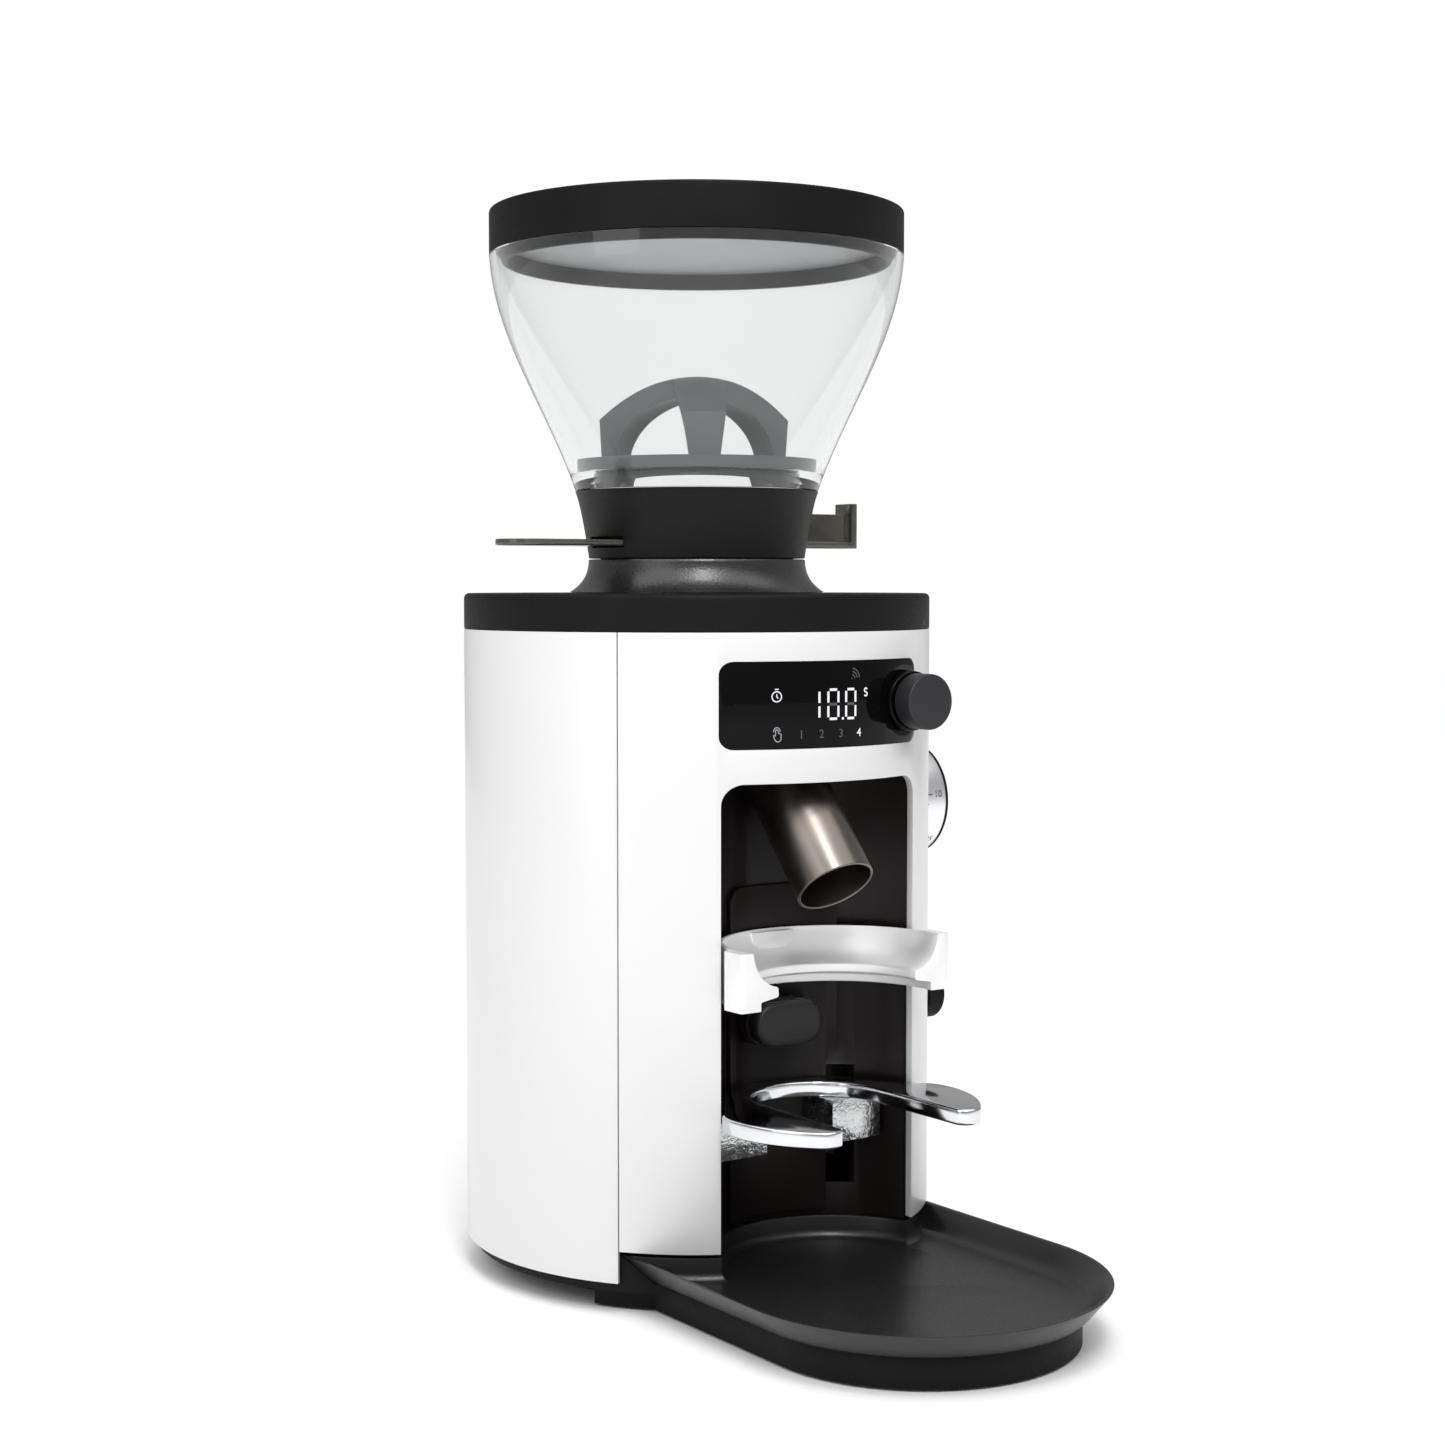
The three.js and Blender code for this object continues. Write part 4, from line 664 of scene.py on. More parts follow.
def round_line(cx, cz, radius, start, end, steps):
    """An arc between two angles in degrees, for a line of a symbol."""
    return arc_points((cx, cz), radius, math.radians(start), math.radians(end), steps)


def degrees_along(angle):
    """How far across the window an angle from the front lies."""
    return math.radians(angle) * BODY_R


DIGIT_H = 11.0
SEGMENTS = {"a": ((0, 2), (1, 2)), "b": ((1, 2), (1, 1)), "c": ((1, 1), (1, 0)),
            "d": ((0, 0), (1, 0)), "e": ((0, 1), (0, 0)), "f": ((0, 2), (0, 1)), "g": ((0, 1), (1, 1))}


def digit(name, lit_segments, width, x, z, material):
    """A seven-segment digit with a small gap between its segments."""
    lines = []
    for key in lit_segments:
        (x0, z0), (x1, z1) = SEGMENTS[key]
        start = Vector((x0 * width, z0 * DIGIT_H / 2))
        end = Vector((x1 * width, z1 * DIGIT_H / 2))
        inset = (end - start).normalized() * 0.65
        lines.append([tuple(start + inset), tuple(end - inset)])
    return strokes(name, lines, 0.95, material, x, z)


READING_Z = 226.2
DIGIT_W = 4.7
UNITS_AT, TENTHS_AT = degrees_along(-3.1), degrees_along(2.0)
digit("digit_tens", "bc", 4.6, degrees_along(-8.3), READING_Z, bright)
for name, at in (("digit_units", UNITS_AT), ("digit_tenths", TENTHS_AT)):
    digit(name, "abcdef", DIGIT_W, at, READING_Z, bright)
for name, at in (("digit_units_off", UNITS_AT), ("digit_tenths_off", TENTHS_AT)):
    digit(name, "g", DIGIT_W, at, READING_Z, dim)
strokes("decimal_point", [[(-0.45, 0), (0.45, 0)]], 0.9, bright, degrees_along(1.05), READING_Z)
strokes(
    "seconds_sign", [round_line(0, 0.75, 0.75, 20, 270, 8) + round_line(0, -0.75, 0.75, 90, -160, 8)],
    0.55, bright, degrees_along(8.2), 235.9)
strokes(
    "timer_sign",
    [round_line(0, 0, 1.9, 0, 360, 24), [(-0.75, 2.75), (0.75, 2.75)], [(0, 1.0), (0, 0), (0.55, -0.65)]],
    0.42, bright, degrees_along(-16.3), 235.0)
strokes(
    "signal_sign",
    [round_line(-1.4, -1.4, r, 5, 85, 8) for r in (1.5, 2.7, 3.9)] + [[(-1.6, -1.4), (-1.2, -1.4)]],
    0.4, dim, degrees_along(4.6), 242.6)
strokes(
    "touch_sign",
    [round_line(-0.1, 1.2, 0.55, 0, 180, 8) + [(-0.65, -0.6), (-1.5, -0.3), (-1.1, -1.6)]
     + round_line(0.3, -1.5, 1.3, 200, 340, 8) + [(1.6, 0.1), (0.45, 0.4), (0.45, 1.2)],
     round_line(-0.1, 1.3, 1.25, -20, 200, 10)],
    0.35, blueish, degrees_along(-16.2), 220.9)


def lettering(text, height):
    """Flat outlines of some characters as mesh points and faces, about their middle."""
    curve = bpy.data.curves.new("letters", "FONT")
    curve.body = text
    curve.size = height * 1.38
    curve.align_x = "CENTER"
    curve.align_y = "CENTER"
    letters = bpy.data.objects.new("letters", curve)
    scene.collection.objects.link(letters)
    bpy.context.view_layer.update()
    depsgraph = bpy.context.evaluated_depsgraph_get()
    mesh = bpy.data.meshes.new_from_object(letters.evaluated_get(depsgraph))
    bpy.data.objects.remove(letters)
    points = [(v.co.x, v.co.y) for v in mesh.vertices]
    return points, [list(p.vertices) for p in mesh.polygons]


def printed(name, text, height, material, place, body, slot):
    """A character or two laid on a curved surface as a skin with a little thickness."""
    points, flat = lettering(text, height)
    count = len(points)
    vertices = [place(u, v, 0) for u, v in points] + [place(u, v, 1) for u, v in points]
    faces = [list(f) for f in flat] + [[i + count for i in reversed(f)] for f in flat]
    edges = {(a, b) for face in flat for a, b in zip(face, face[1:] + face[:1])}
    faces += [[b, a, a + count, b + count] for a, b in edges if (b, a) not in edges]
    piece = new_piece(name, vertices, faces, material, 30)
    return stand_for(piece, body, slot)


PRESET_Z = 220.5
for number, angle, glow in ((1, -10.2, dim), (2, -4.9, dim), (3, 0.5, dim), (4, 6.0, bright)):
    printed(
        f"preset_{number}", str(number), 3.3, glow,
        lambda u, v, depth, at=degrees_along(angle): on_window(
            at + u, PRESET_Z + v, LIT_R - SYMBOL_DEPTH * depth),
        "housing", "black_gloss")

# ---------------------------------------------------------------------------- knob bezel and knob
# A short gloss collar stands out of the window, and a turned aluminium knob, anodised dark grey
# and bead blasted, sits in front of it with a fine polished chamfer round its face.
bezel_depth = bezel_high.y - bezel_low.y
FORWARD = Matrix.Rotation(math.pi / 2, 4, "X")


def set_down(piece, matrix):
    """Moves a piece drawn about the axis by a matrix in millimetres."""
    grow = Matrix.Diagonal((1000, 1000, 1000, 1))
    piece.data.transform(
        Matrix.Translation(AXIS) @ grow.inverted() @ matrix @ grow @ Matrix.Translation(-AXIS))
    return piece


bezel_profile = softened(
    [(3.6, 0), (3.6, -1.5), (BEZEL_R - 2.4, -1.5), (BEZEL_R - 2.4, -bezel_depth), (BEZEL_R, -bezel_depth),
     (BEZEL_R, 0)], {5: 0.9}, 5)
bezel = new_piece("knob_collar", *turned(bezel_profile, 96), gloss_black)
set_down(bezel, Matrix.Translation((KNOB_X, bezel_low.y, KNOB_Z)) @ FORWARD)
stand_for(bezel, "housing", "black_gloss", "knob_bezel")

anodised = grainy(
    "bead_blasted_anodised_aluminium", "2c2c2f", "333336", 0.6, 0.02, (0.42, 0.55), {"Metallic": 0.55})
knob_low, knob_high = size_of("control_knob")
KNOB_R = (knob_high.x - knob_low.x) / 2
knob_depth = knob_high.y - knob_low.y
knob_profile = softened(
    [(0, 0), (KNOB_R, 0), (KNOB_R, knob_depth), (0, knob_depth)], {1: 0.4, 2: 0.7}, 4)
knob = new_piece("turn_knob", *turned(knob_profile, 96), anodised)
on_knob = Matrix.Translation((KNOB_X, knob_high.y, KNOB_Z)) @ FORWARD
set_down(knob, on_knob)
SHAFT_ROOM = 3.3
shaft_hole = [(0, -1), (SHAFT_ROOM, -1), (SHAFT_ROOM, knob_depth / 2), (0, knob_depth / 2)]
combine(knob, [tool(*turned(shaft_hole, 48), on_knob)])
shade(knob, 40)
stand_for(knob, "knob", "black_plastic", "control_knob")

# ---------------------------------------------------------------------------- spout
# A thin drawn brass tube, nickel plated in a dark smoked satin, cut square at its mouth with a
# bright thin lip. It passes up through the channel to the grinding chamber.


def polished(name, dark, light, streak_mm, rough):
    """Polished or satin metal, as bright as its roughness lets it be, with broad soft haze."""
    material, tree, shader, place = start_material(name, {"Metallic": 1.0})
    haze = add_node(
        tree, "ShaderNodeTexNoise", {"Scale": 1000 / streak_mm, "Detail": 4.0}, {"Vector": place})
    tint = add_node(
        tree, "ShaderNodeMix",
        {"data_type": "RGBA", 6: linear(dark), 7: linear(light)}, {0: haze.outputs["Fac"]})
    blur = add_node(
        tree, "ShaderNodeMapRange",
        {"From Min": 0.3, "From Max": 0.7, "To Min": rough[0], "To Max": rough[1]},
        {"Value": haze.outputs["Fac"]})
    tree.links.new(tint.outputs[2], shader.inputs["Base Color"])
    tree.links.new(blur.outputs["Result"], shader.inputs["Roughness"])
    return material


spout_low, spout_high = size_of("spout")
SPOUT_R = (spout_high.x - spout_low.x) / 2
SPOUT_TILT = math.radians(40)
SPOUT_WALL = 1
across, up = SPOUT_R * math.cos(SPOUT_TILT), SPOUT_R * math.sin(SPOUT_TILT)
spout_length = (spout_high.z - spout_low.z - 2 * up) / math.cos(SPOUT_TILT)
mouth = Vector((0, spout_low.y + across, spout_low.z + up))
dark_nickel = polished("dark_satin_nickel", "726c66", "827b74", 18, (0.26, 0.34))
bore = SPOUT_R - SPOUT_WALL
spout_profile = softened(
    [(bore, 0), (SPOUT_R, 0), (SPOUT_R, spout_length), (bore, spout_length)], {0: 0.3, 1: 0.3}, 3)
spout = new_piece("spout_tube", *turned(spout_profile, 96), dark_nickel)
set_down(spout, Matrix.Translation(mouth) @ Matrix.Rotation(-SPOUT_TILT, 4, "X"))
stand_for(spout, "housing", "nickel", "spout")

# ---------------------------------------------------------------------------- portafilter bracket
# A cast zinc half funnel that guides the portafilter's rim, tumbled in a vibrating bath to a pale,
# even satin. Its inner slope takes the light from above; squared ears close its two ends.
bracket_low, bracket_high = size_of("portafilter_bracket")


def curve_between(start, control, end, steps):
    """Points of a curve that leaves its start and reaches its end towards one control point."""
    points = []
    for i in range(steps + 1):
        t = i / steps
        points.append(tuple(
            start[k] * (1 - t) ** 2 + control[k] * 2 * t * (1 - t) + end[k] * t * t for k in (0, 1)))
    return points


EAR_OUT = bracket_high.x
BRACKET_R = RECESS_HALF - 0.5
height = bracket_high.z - bracket_low.z
satin_casting = polished("vibration_polished_casting", "f4f4f5", "fafafa", 14, (0.6, 0.68))
bowl = curve_between((BRACKET_R - 1.6, height - 0.7), (BRACKET_R - 3.2, 10.5), (33.6, 8.6), 10)
lip = [(33.0, 8.0), (32.8, 4.8), (40.9, 3.4), (BRACKET_R - 5, 0)]
section = softened(
    [(BRACKET_R, 0), (BRACKET_R, height), (BRACKET_R - 1.6, height)] + bowl + lip,
    {1: 0.7, 15: 0.9, 16: 0.8, 17: 0.5}, 3)


def through(rows):
    """Points and faces of a solid through closed rows of points, its two ends first."""
    vertices = [point for row in rows for point in row]
    count = len(rows[0])
    ends = [list(range(count)), [len(vertices) - 1 - i for i in range(count)]]
    return vertices, ends + sides_between(len(rows), count)


def swept(section, path):
    """A section of (outwards, up) points swept along flat stations of (centre, direction)."""
    return through([
        [(centre[0] + out * way[0], centre[1] + out * way[1], bracket_low.z + up) for out, up in section]
        for centre, way in path])


BRACKET_STEPS = 64
turns = [math.pi * i / BRACKET_STEPS for i in range(BRACKET_STEPS + 1)]
path = [((0, bracket_low.y), (1, 0))]
path += [((0, RECESS_Y), (math.cos(turn), math.sin(turn))) for turn in turns]
path += [((0, bracket_low.y), (-1, 0))]
bracket = new_piece("funnel_bracket", *swept(section, path), satin_casting, 50)
EAR_IN = 1.5
ear_back = RECESS_Y + 5.5
ear_block = rounded_box(EAR_OUT - BRACKET_R + EAR_IN, ear_back - bracket_low.y, 0.9, 3)
joined = []
for side in (-1, 1):
    middle = Matrix.Translation(
        (side * (BRACKET_R - EAR_IN + EAR_OUT) / 2, (ear_back + bracket_low.y) / 2, 0))
    joined.append(tool(*prism(ear_block, bracket_low.z, bracket_high.z), middle))
LUG_HALF, LUG_FRONT, LUG_BACK = 10, -53, -48.9
lug = [(-LUG_HALF, LUG_FRONT), (LUG_HALF, LUG_FRONT), (LUG_HALF, LUG_BACK), (-LUG_HALF, LUG_BACK)]
joined.append(tool(*prism(lug, bracket_low.z + 12, bracket_high.z - 1)))
combine(bracket, joined, "UNION")
round_edges(bracket, 0.35, 38)
stand_for(bracket, "housing", "polished", "portafilter_bracket")

# ---------------------------------------------------------------------------- portafilter fork
# The fork that carries the portafilter's neck, cast, ground flat on top and chrome plated. The
# plate is mirror polished; the two legs below keep the grainy face of the sand casting.
fork_low, fork_high = size_of("portafilter_fork")
FORK_THICK = 6.2
FORK_R = COVER_IN - 0.5
FORK_NECK = RECESS_HALF - 0.5


def bezier(start, first, second, end, steps):
    """Points of a curve shaped by two control points, its end left out."""
    points = []
    for i in range(steps):
        t = i / steps
        points.append(tuple(
            start[k] * (1 - t) ** 3 + 3 * first[k] * t * (1 - t) ** 2 + 3 * second[k] * t * t * (1 - t)
            + end[k] * t ** 3 for k in (0, 1)))
    return points


def fork_half():
    """The fork's right-hand outline, from its outer shoulder round the tip to the slot's crown."""
    neck, wide, slot = FORK_NECK, FORK_NECK + 7.2, 27.5
    tip, crown = RECESS_Y - 41, RECESS_Y + 10.5
    line = bezier(
        (neck, RECESS_Y + 8), (neck + 4, RECESS_Y + 7.5), (wide, RECESS_Y + 4), (wide, RECESS_Y - 5), 10)
    line += bezier(
        (wide, RECESS_Y - 5), (wide, RECESS_Y - 20), (wide - 8, RECESS_Y - 32), (wide - 15, tip + 2), 14)
    line += bezier((wide - 15, tip + 2), (wide - 18, tip - 1.5), (slot, tip - 1), (slot - 0.5, tip + 6), 10)
    line += arc_points((0, crown), slot, 0, math.pi / 2, 24)
    return line


half = fork_half()
shoulder = math.acos(FORK_NECK / FORK_R)
rear_arc = arc_points((0, RECESS_Y), FORK_R, math.pi - shoulder, shoulder, 40)
outline = half + [(-x, y) for x, y in reversed(half[:-1])] + rear_arc[1:-1]
plate_low = fork_high.z - FORK_THICK
chrome = polished("polished_chrome_plate", "cfd0d2", "dadbdd", 14, (0.06, 0.14))
fork = new_piece("fork_plate", *prism(outline, plate_low, fork_high.z), chrome)
round_edges(fork, 0.9, 35, 3)
stand_for(fork, "fork", "polished", "portafilter_fork")

cast_face = grainy(
    "chromed_sand_casting", "a9aaab", "d5d6d7", 2.6, 0.35, (0.12, 0.3), {"Metallic": 1.0})
LEG_IN, LEG_OUT, LEG_BACK = 16, 40, -46
for side, name in ((-1, "fork_leg_left"), (1, "fork_leg_right")):
    x0, x1 = sorted((side * LEG_IN, side * LEG_OUT))
    leg_outline = [(x0, RECESS_Y + 24), (x1, RECESS_Y + 24), (x1, LEG_BACK), (x0, LEG_BACK)]
    leg = new_piece(name, *prism(leg_outline, fork_low.z, plate_low - 0.05), cast_face)
    room = tool(*prism(circle(FORK_R, 120, (0, RECESS_Y)), 40, 90))
    combine(leg, [room], "INTERSECT")
    round_edges(leg, 0.8)
    stand_for(leg, "fork", "polished")

# ---------------------------------------------------------------------------- side clamp knob
# A small turned black knob on the right of the body, in ABS like the base. It tightens the screw
# that holds the fork at its height, and has fine flutes round it for grip.
clamp_r, clamp_depth = (clamp_high.y - clamp_low.y) / 2, clamp_high.x - clamp_low.x
FLUTES, FLUTE_DEPTH = 24, 0.25
clamp_profile = softened(
    [(0, 0), (clamp_r, 0), (clamp_r, clamp_depth), (0, clamp_depth)], {1: 0.5, 2: 1.1}, 5)
clamp_points, clamp_faces = turned(clamp_profile, 144)
fluted = []
for x, y, z in clamp_points:
    radius, angle = math.hypot(x, y), math.atan2(y, x)
    if radius > clamp_r - 0.6 and 1 < z < clamp_depth - 1:
        radius -= FLUTE_DEPTH * (0.5 + 0.5 * math.cos(FLUTES * angle))
    fluted.append((radius * math.cos(angle), radius * math.sin(angle), z))
clamp = new_piece("clamp_handle", fluted, clamp_faces, black_abs, 35)
set_down(clamp, Matrix.Translation((clamp_low.x, CLAMP_Y, CLAMP_Z)) @ SIDEWAYS)
stand_for(clamp, "clamp", "black_plastic", "clamp_knob")

# ---------------------------------------------------------------------------- start button
# A soft-cornered pill of black ABS that the portafilter presses, on a guided stem inside a fixed
# boss. Its face is smoother than the moulding behind it and slightly crowned.
boss = refined("button_boss", "button_housing", liner_abs, 0.5)
stand_for(boss, "housing", "black_plastic", "button_housing")
button_low, button_high = size_of("start_button")


def pill_level(inset, depth):
    """The button's outline, drawn in by an inset, at a depth behind its face."""
    width, height = PILL_W - 2 * inset, PILL_H - 2 * inset
    outline = rounded_box(width, height, height / 2 - 0.01, 16)
    return [(x, button_low.y + depth, z + BUTTON_Z) for x, z in outline]


STEM_INSET = 2.6
crown = [(3.2, 0), (1.4, 0.25), (0.5, 0.75), (0.1, 1.5), (0, 2.3), (0, 4), (0.3, 4.3), (STEM_INSET, 4.3)]
rows = [pill_level(inset, depth) for inset, depth in crown]
rows.append(pill_level(STEM_INSET, button_high.y - button_low.y))
button_abs = grainy(
    "black_button_abs", "141415", "1b1b1c", 0.6, 0.015, (0.4, 0.5),
    {"IOR": 1.53, "Specular IOR Level": 0.3})
button = new_piece("press_button", *through(rows), button_abs, 40)
stand_for(button, "button", "black_plastic", "start_button")

# ---------------------------------------------------------------------------- grind dial
# A turned aluminium drum, satin chromed, with engraved and paint-filled marks: 35 ticks round it
# and a number at every fifth. A thin black disc closes its outer end.
cap_low, cap_high = size_of("dial_cap")
DRUM_R = (drum_high.z - drum_low.z) / 2
drum_length = drum_high.x - drum_low.x
satin_chrome = polished("satin_chromed_aluminium", "e6e7ea", "efeff2", 9, (0.3, 0.38))
DIAL_STEPS = 140
drum_profile = softened(
    [(0, 2), (4.3, 2), (4.3, 0), (DRUM_R, 0), (DRUM_R, drum_length), (0, drum_length)],
    {3: 0.4, 4: 0.3}, 3)
drum = new_piece("dial_barrel", *turned(drum_profile, DIAL_STEPS), satin_chrome)
set_down(drum, Matrix.Translation((drum_low.x, 0, DIAL_Z)) @ SIDEWAYS)
stand_for(drum, "dial", "polished", "dial_drum")
cap_depth = cap_high.x - cap_low.x
cap_r = (cap_high.z - cap_low.z) / 2
disc_profile = softened([(0, 0), (cap_r, 0), (cap_r, cap_depth), (0, cap_depth)], {2: 0.5}, 4)
disc = new_piece("dial_end_disc", *turned(disc_profile, DIAL_STEPS), black_abs)
set_down(disc, Matrix.Translation((cap_low.x, 0, DIAL_Z)) @ SIDEWAYS)
stand_for(disc, "dial", "black_plastic", "dial_cap")

ink = grainy("black_filled_engraving", "1c1c1e", "262628", 1.0, 0.01, (0.5, 0.6), {"IOR": 1.5})
TICKS = 35
MARK_START = 3.7
LONG_MARK, SHORT_MARK, HALF_MARK = 7.2, 5.2, 0.2
MARK_R = DRUM_R + 0.04
TEN_AT = math.radians(8)
BRICK_FACES = [[3, 2, 1, 0], [4, 5, 6, 7]] + [[i, (i + 1) % 4, (i + 1) % 4 + 4, i + 4] for i in range(4)]


def on_drum(x, turn, depth=0):
    """A point of the drum's surface, by its X and its angle up from straight ahead."""
    radius = MARK_R - 0.1 * depth
    return x, -radius * math.cos(turn), DIAL_Z + radius * math.sin(turn)


for tick in range(TICKS):
    turn = TEN_AT + 2 * math.pi * (tick - 10) / TICKS
    long_mark = tick % 5 == 0
    x0 = drum_low.x + MARK_START
    x1 = x0 + (LONG_MARK if long_mark else SHORT_MARK)
    wide = HALF_MARK / DRUM_R
    corners = [(x0, turn - wide), (x1, turn - wide), (x1, turn + wide), (x0, turn + wide)]
    points = [on_drum(x, t, depth) for depth in (0, 1) for x, t in corners]
    mark = new_piece(f"tick_{tick}", points, BRICK_FACES, ink)
    stand_for(mark, "dial", "black_plastic")
    if long_mark:
        printed(
            f"reading_{tick}", f"{tick:02d}", 3.1, ink,
            lambda u, v, depth, at=turn, x=x1 + 3.2: on_drum(x + u, at + v / DRUM_R, depth),
            "dial", "black_plastic")

# ---------------------------------------------------------------------------- top cap
# The round black lid of the body, moulded in ABS with the same pebbled grain and a well rounded
# upper edge. A small pressed triangle on its rim shows where the hopper's mark lines up.
top_low, top_high = size_of("top_cap")
CAP_TOP = top_high.z
CAP_HOLE, CAP_SKIN, CAP_WALL = 51.5, 3, 4
cap_profile = softened(
    [(CAP_HOLE, CAP_TOP), (CAP_HOLE, CAP_TOP - CAP_SKIN), (BODY_R - CAP_WALL, CAP_TOP - CAP_SKIN),
     (BODY_R - CAP_WALL, top_low.z), (BODY_R, top_low.z), (BODY_R, CAP_TOP)], {4: 0.3, 5: 2.4}, 6)
cap = new_piece("body_lid", *turned(cap_profile, 160), black_abs, 50)
stand_for(cap, "housing", "black_plastic", "top_cap")
MARK_AT = math.radians(38)


def on_rim(u, v, depth):
    """A point of the cap's rim, by its distance round from the mark and up from the mark's foot."""
    radius, turn = BODY_R - 0.1 * depth, MARK_AT + u / BODY_R
    return radius * math.sin(turn), -radius * math.cos(turn), top_low.z + 1.6 + v


triangle = [(-1.3, 0), (1.3, 0), (0, 2.4)]
mark_points = [on_rim(u, v, depth) for depth in (0, 1) for u, v in triangle]
mark_faces = [[0, 1, 2], [5, 4, 3], [0, 3, 4, 1], [1, 4, 5, 2], [2, 5, 3, 0]]
print_grey = grainy("grey_pad_print", "47474a", "4f4f52", 1.0, 0.01, (0.5, 0.6), {"IOR": 1.5})
guide_mark = new_piece("guide_mark", mark_points, mark_faces, print_grey)
stand_for(guide_mark, "housing", "black_plastic")

# ---------------------------------------------------------------------------- hopper seat
# The flared neck that the hopper plugs into, cast and powder coated black. Its grain is coarser
# than the plastics', so the flare glitters where it faces the light.
seat_low, seat_high = size_of("hopper_seat")
NECK_R, SOCKET_R, THROAT_R = 44.3, 39.6, 16
SEAT_SPIGOT_R = 51.2
foot_r = (seat_high.x - seat_low.x) / 2
flare = curve_between((foot_r, CAP_TOP + 0.4), (NECK_R, CAP_TOP + 5), (NECK_R, seat_high.z - 0.4), 16)
seat_profile = [(SEAT_SPIGOT_R, seat_low.z), (SEAT_SPIGOT_R, CAP_TOP + 0.4)] + flare
seat_profile += [(NECK_R - 0.4, seat_high.z), (SOCKET_R, seat_high.z), (SOCKET_R, seat_high.z - 8)]
seat_profile += [(THROAT_R, seat_low.z + 7.7), (THROAT_R, seat_low.z)]
seat_coat = grainy(
    "coarse_black_powder_coat", "131213", "1b1a1b", 1.1, 0.12, (0.26, 0.36),
    {"IOR": 1.5, "Specular IOR Level": 0.8})
seat = new_piece("hopper_neck", *turned(seat_profile, 128), seat_coat, 50)
stand_for(seat, "housing", "black_plastic", "hopper_seat")

# ---------------------------------------------------------------------------- hopper collar
# A black ABS ring bonded to the hopper, waisted like a flower pot. A slot in each side lets the
# gate's slide through.
collar_low, collar_high = size_of("hopper_collar")
COLLAR_R = collar_high.x
COLLAR_FOOT = seat_high.z + 0.5
GATE_Z = size_of("gate_slide")[0].z
GATE_END, GATE_HALF = 39, 14
GATE_ROOM = math.hypot(GATE_END, GATE_HALF) + 0.5
gate_under, gate_over = GATE_Z - 0.6, GATE_Z + 3.1
PLUG_IN, PLUG_OUT = 36.8, 39.3
COLLAR_THROAT, COLLAR_WALL = 13, 3
shelf_z = COLLAR_FOOT + 15.5
waist = curve_between(
    (NECK_R - 0.2, COLLAR_FOOT), (NECK_R + 3, collar_high.z - 5.6), (COLLAR_R, collar_high.z - 0.3), 18)
collar_profile = [(PLUG_IN, collar_low.z), (PLUG_OUT, collar_low.z), (PLUG_OUT, COLLAR_FOOT)] + waist
collar_profile += [
    (COLLAR_R - 0.4, collar_high.z), (COLLAR_R - COLLAR_WALL, collar_high.z),
    (COLLAR_R - COLLAR_WALL, shelf_z), (40, shelf_z), (COLLAR_THROAT, GATE_Z + 4.5),
    (COLLAR_THROAT, gate_over), (GATE_ROOM, gate_over), (GATE_ROOM, gate_under),
    (COLLAR_THROAT, gate_under), (COLLAR_THROAT, COLLAR_FOOT), (PLUG_IN, COLLAR_FOOT)]
collar_abs = grainy(
    "satin_black_abs", "0b0b0b", "111111", 0.8, 0.02, (0.42, 0.56),
    {"IOR": 1.53, "Specular IOR Level": 0.2})
collar = new_piece("hopper_ring", *turned(collar_profile, 128), collar_abs, 50)
SLOT_FROM, SLOT_TO, SLOT_HALF = 38.5, 60, 12
slot_tools = []
for side in (-1, 1):
    x0, x1 = sorted((side * SLOT_FROM, side * SLOT_TO))
    slot = [(x0, -SLOT_HALF), (x1, -SLOT_HALF), (x1, SLOT_HALF), (x0, SLOT_HALF)]
    slot_tools.append(tool(*prism(slot, gate_under, GATE_Z + 3.9)))
combine(collar, slot_tools)
round_edges(collar, 0)
stand_for(collar, "hopper", "black_plastic", "hopper_collar")

# ---------------------------------------------------------------------------- gate slide
# A flat slide moulded in smoky translucent polycarbonate, with polished edges. Its round hole
# lines up with the throat when open; the upright grip on the right pulls it shut.


def clear_plastic(name, hex_colour, ior, clearness):
    """Clear moulded plastic: polished, with the faint waviness of flow in the mould."""
    material, tree, shader, place = start_material(
        name, {"Base Color": linear(hex_colour), "Roughness": 0.03, "IOR": ior,
               "Transmission Weight": clearness})
    flow_mm = 30
    flow = add_node(
        tree, "ShaderNodeTexNoise", {"Scale": 1000 / flow_mm, "Detail": 1.0}, {"Vector": place})
    bump = add_node(
        tree, "ShaderNodeBump", {"Strength": 0.15, "Distance": 0.00008}, {"Height": flow.outputs["Fac"]})
    tree.links.new(bump.outputs["Normal"], shader.inputs["Normal"])
    return material


smoky = clear_plastic("smoky_polycarbonate", "5c5a50", 1.58, 0.55)
gate = refined("gate_blade", "gate_slide", smoky, 0.35)
stand_for(gate, "gate", "smoke", "gate_slide")

# ---------------------------------------------------------------------------- bean hopper
# Injection-moulded clear SAN, almost colourless, with a thick foot that bends light into grey and
# silver bands and thin walls that only show at their edges.
hopper_low, hopper_high = size_of("bean_hopper")
HOPPER_R = hopper_high.x
foot_z = collar_high.z + 0.3


def hopper_wall(inset, steps):
    """The hopper's side as (radius, height) points, drawn in by an inset."""
    line = bezier(
        (COLLAR_R, foot_z), (COLLAR_R + 11.7, collar_high.z + 34), (HOPPER_R - 2, hopper_high.z - 33.7),
        (HOPPER_R, hopper_high.z), steps) + [(HOPPER_R, hopper_high.z)]
    return [(r - inset, z) for r, z in line]


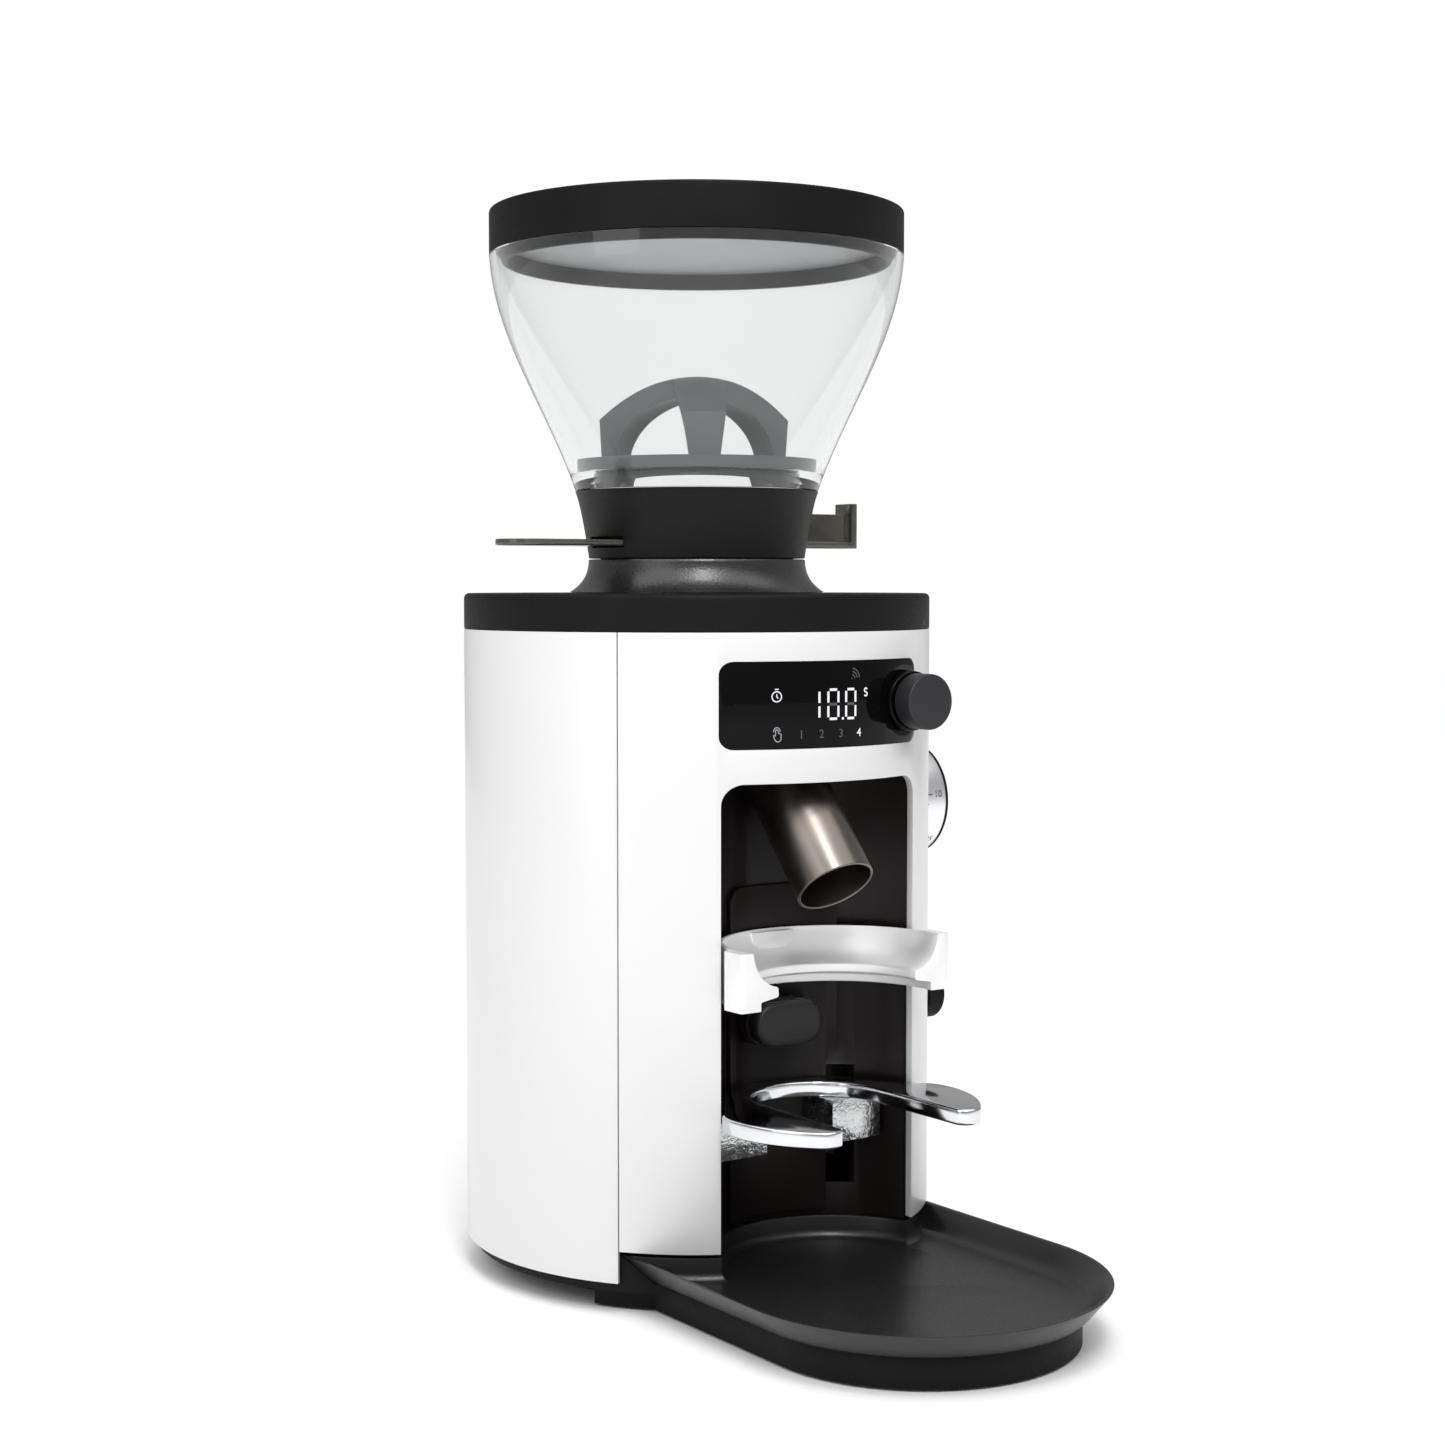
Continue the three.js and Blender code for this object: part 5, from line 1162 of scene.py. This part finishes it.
HOPPER_WALL = 2.6
spigot = COLLAR_R - 3.3
ledge_z = collar_high.z + 7.6
inner = [p for p in hopper_wall(HOPPER_WALL, 40) if p[1] > ledge_z + 1]
hopper_profile = [(spigot - HOPPER_WALL, hopper_low.z), (spigot, hopper_low.z), (spigot, foot_z)]
hopper_profile += hopper_wall(0, 40) + inner[::-1]
hopper_profile += [(inner[0][0] - 1.2, ledge_z), (spigot - HOPPER_WALL, ledge_z)]
clear = clear_plastic("clear_moulded_san", "f5f6f6", 1.45, 1.0)
hopper = new_piece("clear_hopper", *turned(hopper_profile, 160), clear, 45)
stand_for(hopper, "hopper", "clear", "bean_hopper")

# ---------------------------------------------------------------------------- finger guard
# Three legs moulded in grey nylon that meet in a dome, with a ring round their feet. They keep
# fingers out of the throat; each leg is a wedge, broad at the dome and narrow at the ring.
guard_low, guard_high = size_of("finger_guard")
GUARD_R = 41.5
GUARD_INSIDE = GUARD_R - 7
guard_floor = guard_low.z + 5
guard_rise = guard_high.z - guard_floor
shoulder_z = guard_floor + guard_rise / 2
dome = curve_between(
    (GUARD_R, shoulder_z), (GUARD_R * 0.5, guard_high.z - 0.4), (0, guard_high.z - 0.02), 14)
dome_foot = [(0, guard_low.z + 1), (GUARD_R, guard_low.z + 1)]
guard = new_piece("guard_arches", *turned(dome_foot + dome, 96), grey_nylon)
FOOT_HALF, CROWN_HALF = 5.3, 10.6
wedge = [
    (x, side * half_width, z)
    for z, half_width in ((guard_low.z, FOOT_HALF), (guard_high.z + 1, CROWN_HALF))
    for x, side in ((0, -1), (60, -1), (60, 1), (0, 1))
]
legs = [
    tool(wedge, BRICK_FACES, Matrix.Rotation(math.radians(turn), 4, "Z")) for turn in (0, 120, 240)
]
star = combine(legs[0], legs[1:], "UNION")
under = [(0, guard_low.z - 1), (GUARD_INSIDE, guard_low.z - 1)]
for step in range(17):
    turn = math.pi / 2 * step / 16
    under.append((GUARD_INSIDE * math.cos(turn), guard_floor + (guard_rise - 8) * math.sin(turn)))
hollow = tool(*turned(under, 96))
combine(guard, [hollow])
combine(guard, [star], "INTERSECT")
ring_profile = softened(
    [(GUARD_INSIDE - 2, guard_low.z), (COLLAR_R - 0.9, guard_low.z), (COLLAR_R - 0.9, guard_floor),
     (GUARD_INSIDE - 2, guard_floor)], {2: 0.5, 3: 0.8}, 3)
combine(guard, [tool(*turned(ring_profile, 96))], "UNION")
round_edges(guard, 0.7, 32)
stand_for(guard, "hopper", "grey_plastic", "finger_guard")

# ---------------------------------------------------------------------------- hopper lid
# A shallow black ABS cap with a finely grained skirt. A ring under it plugs the hopper's mouth,
# and a pale liner disc shows from below through the clear wall.
lid_low, lid_high = size_of("lid")
skirt_z = hopper_high.z + 0.3
plug_out, plug_in = HOPPER_R - 5, HOPPER_R - 5 - 2.4
step_in, step_z = HOPPER_R - 3, skirt_z + 2
lid_profile = softened(
    [(0, lid_high.z), (0, lid_high.z - 3), (plug_in, lid_high.z - 3), (plug_in, lid_low.z),
     (plug_out, lid_low.z), (plug_out, step_z), (step_in, step_z), (step_in, skirt_z),
     (HOPPER_R, skirt_z), (HOPPER_R, lid_high.z)], {3: 0.5, 4: 0.5, 8: 0.4, 9: 1.3}, 5)
lid = new_piece("hopper_cover", *turned(lid_profile, 160), black_abs, 50)
stand_for(lid, "lid", "black_plastic", "lid")
liner_disc_low, liner_disc_high = size_of("lid_liner")
disc_r = (liner_disc_high.x - liner_disc_low.x) / 2
pale_liner = grainy("pale_grey_liner", "c4c6c8", "ced0d2", 1.2, 0.01, (0.4, 0.5), {"IOR": 1.5})
lid_disc_profile = softened(
    [(0, liner_disc_low.z), (disc_r, liner_disc_low.z), (disc_r, liner_disc_high.z),
     (0, liner_disc_high.z)], {1: 0.4}, 3)
lid_disc = new_piece("lid_inner_disc", *turned(lid_disc_profile, 96), pale_liner)
stand_for(lid_disc, "lid", "grey_plastic", "lid_liner")

# ---------------------------------------------------------------------------- mains inlet and switch
# A standard appliance inlet and a rocker switch, both black glass-filled nylon, set in windows at
# the back of the body. The rocker stands tilted on its pivot.
inlet = refined("power_inlet", "mains_inlet", collar_abs, 0.3)
stand_for(inlet, "housing", "black_plastic", "mains_inlet")
switch = refined("switch_bezel", "rocker_frame", collar_abs, 0.4)
stand_for(switch, "housing", "black_plastic", "rocker_frame")
rocker = refined("switch_rocker", "power_rocker", button_abs, 0.9)
stand_for(rocker, "rocker", "black_plastic", "power_rocker")

# ---------------------------------------------------------------------------- floor and light
# A plain floor of matt pale paint, one broad soft light from above, a tall panel at the left and two
# small ones in front, one of them high. The room is white where it is seen, or seen through clear
# plastic, but lights the object at two fifths of that, so that black parts stay black.
FLOOR = 6
floor_mesh = bpy.data.meshes.new("floor")
floor_corners = [(-FLOOR, -FLOOR, 0), (FLOOR, -FLOOR, 0), (FLOOR, FLOOR, 0), (-FLOOR, FLOOR, 0)]
floor_mesh.from_pydata(floor_corners, [], [[0, 1, 2, 3]])
floor = bpy.data.objects.new("floor", floor_mesh)
matt_paint = start_material("pale_studio_floor", {"Base Color": linear("f6f6f6"), "Roughness": 0.9})[0]
floor_mesh.materials.append(matt_paint)
scene.collection.objects.link(floor)

ROOM_LIGHT = 0.38
world = bpy.data.worlds.new("studio")
world.use_nodes = True
room = world.node_tree
backdrop = room.nodes["Background"]
backdrop.inputs["Color"].default_value = linear("ffffff")
rays = add_node(room, "ShaderNodeLightPath").outputs
seen = add_node(
    room, "ShaderNodeMath", {"operation": "MAXIMUM"},
    {0: rays["Is Camera Ray"], 1: rays["Is Transmission Ray"]})
dimmed = add_node(room, "ShaderNodeMapRange", {"To Min": ROOM_LIGHT}, {"Value": seen.outputs["Value"]})
room.links.new(dimmed.outputs["Result"], backdrop.inputs["Strength"])
scene.world = world


def lamp(name, place, aim, width, height, watts):
    """A soft rectangular lamp that clear plastic doesn't show."""
    light = bpy.data.lights.new(name, "AREA")
    light.shape = "RECTANGLE"
    light.size = width
    light.size_y = height
    light.energy = watts
    made = bpy.data.objects.new(name, light)
    made.location = place
    made.rotation_euler = (Vector(aim) - Vector(place)).to_track_quat("-Z", "Y").to_euler()
    made.visible_transmission = False
    scene.collection.objects.link(made)


sky = bpy.data.lights.new("broad_overhead_light", "SUN")
sky.angle = math.radians(100)
sky.energy = 2.4
sky_lamp = bpy.data.objects.new("broad_overhead_light", sky)
sky_lamp.rotation_euler = (math.radians(12), math.radians(-10), 0)
scene.collection.objects.link(sky_lamp)
lamp("key_panel", (-1.6, -0.3, 0.7), (0, 0, 0.2), 0.8, 1.2, 4)
lamp("front_panel_light", (-0.5, -0.9, 1.15), (0, 0, 0.25), 0.3, 0.4, 5.5)
lamp("high_spot_light", (-0.3, -0.6, 1.5), (0, 0, 0.3), 0.35, 0.25, 4)
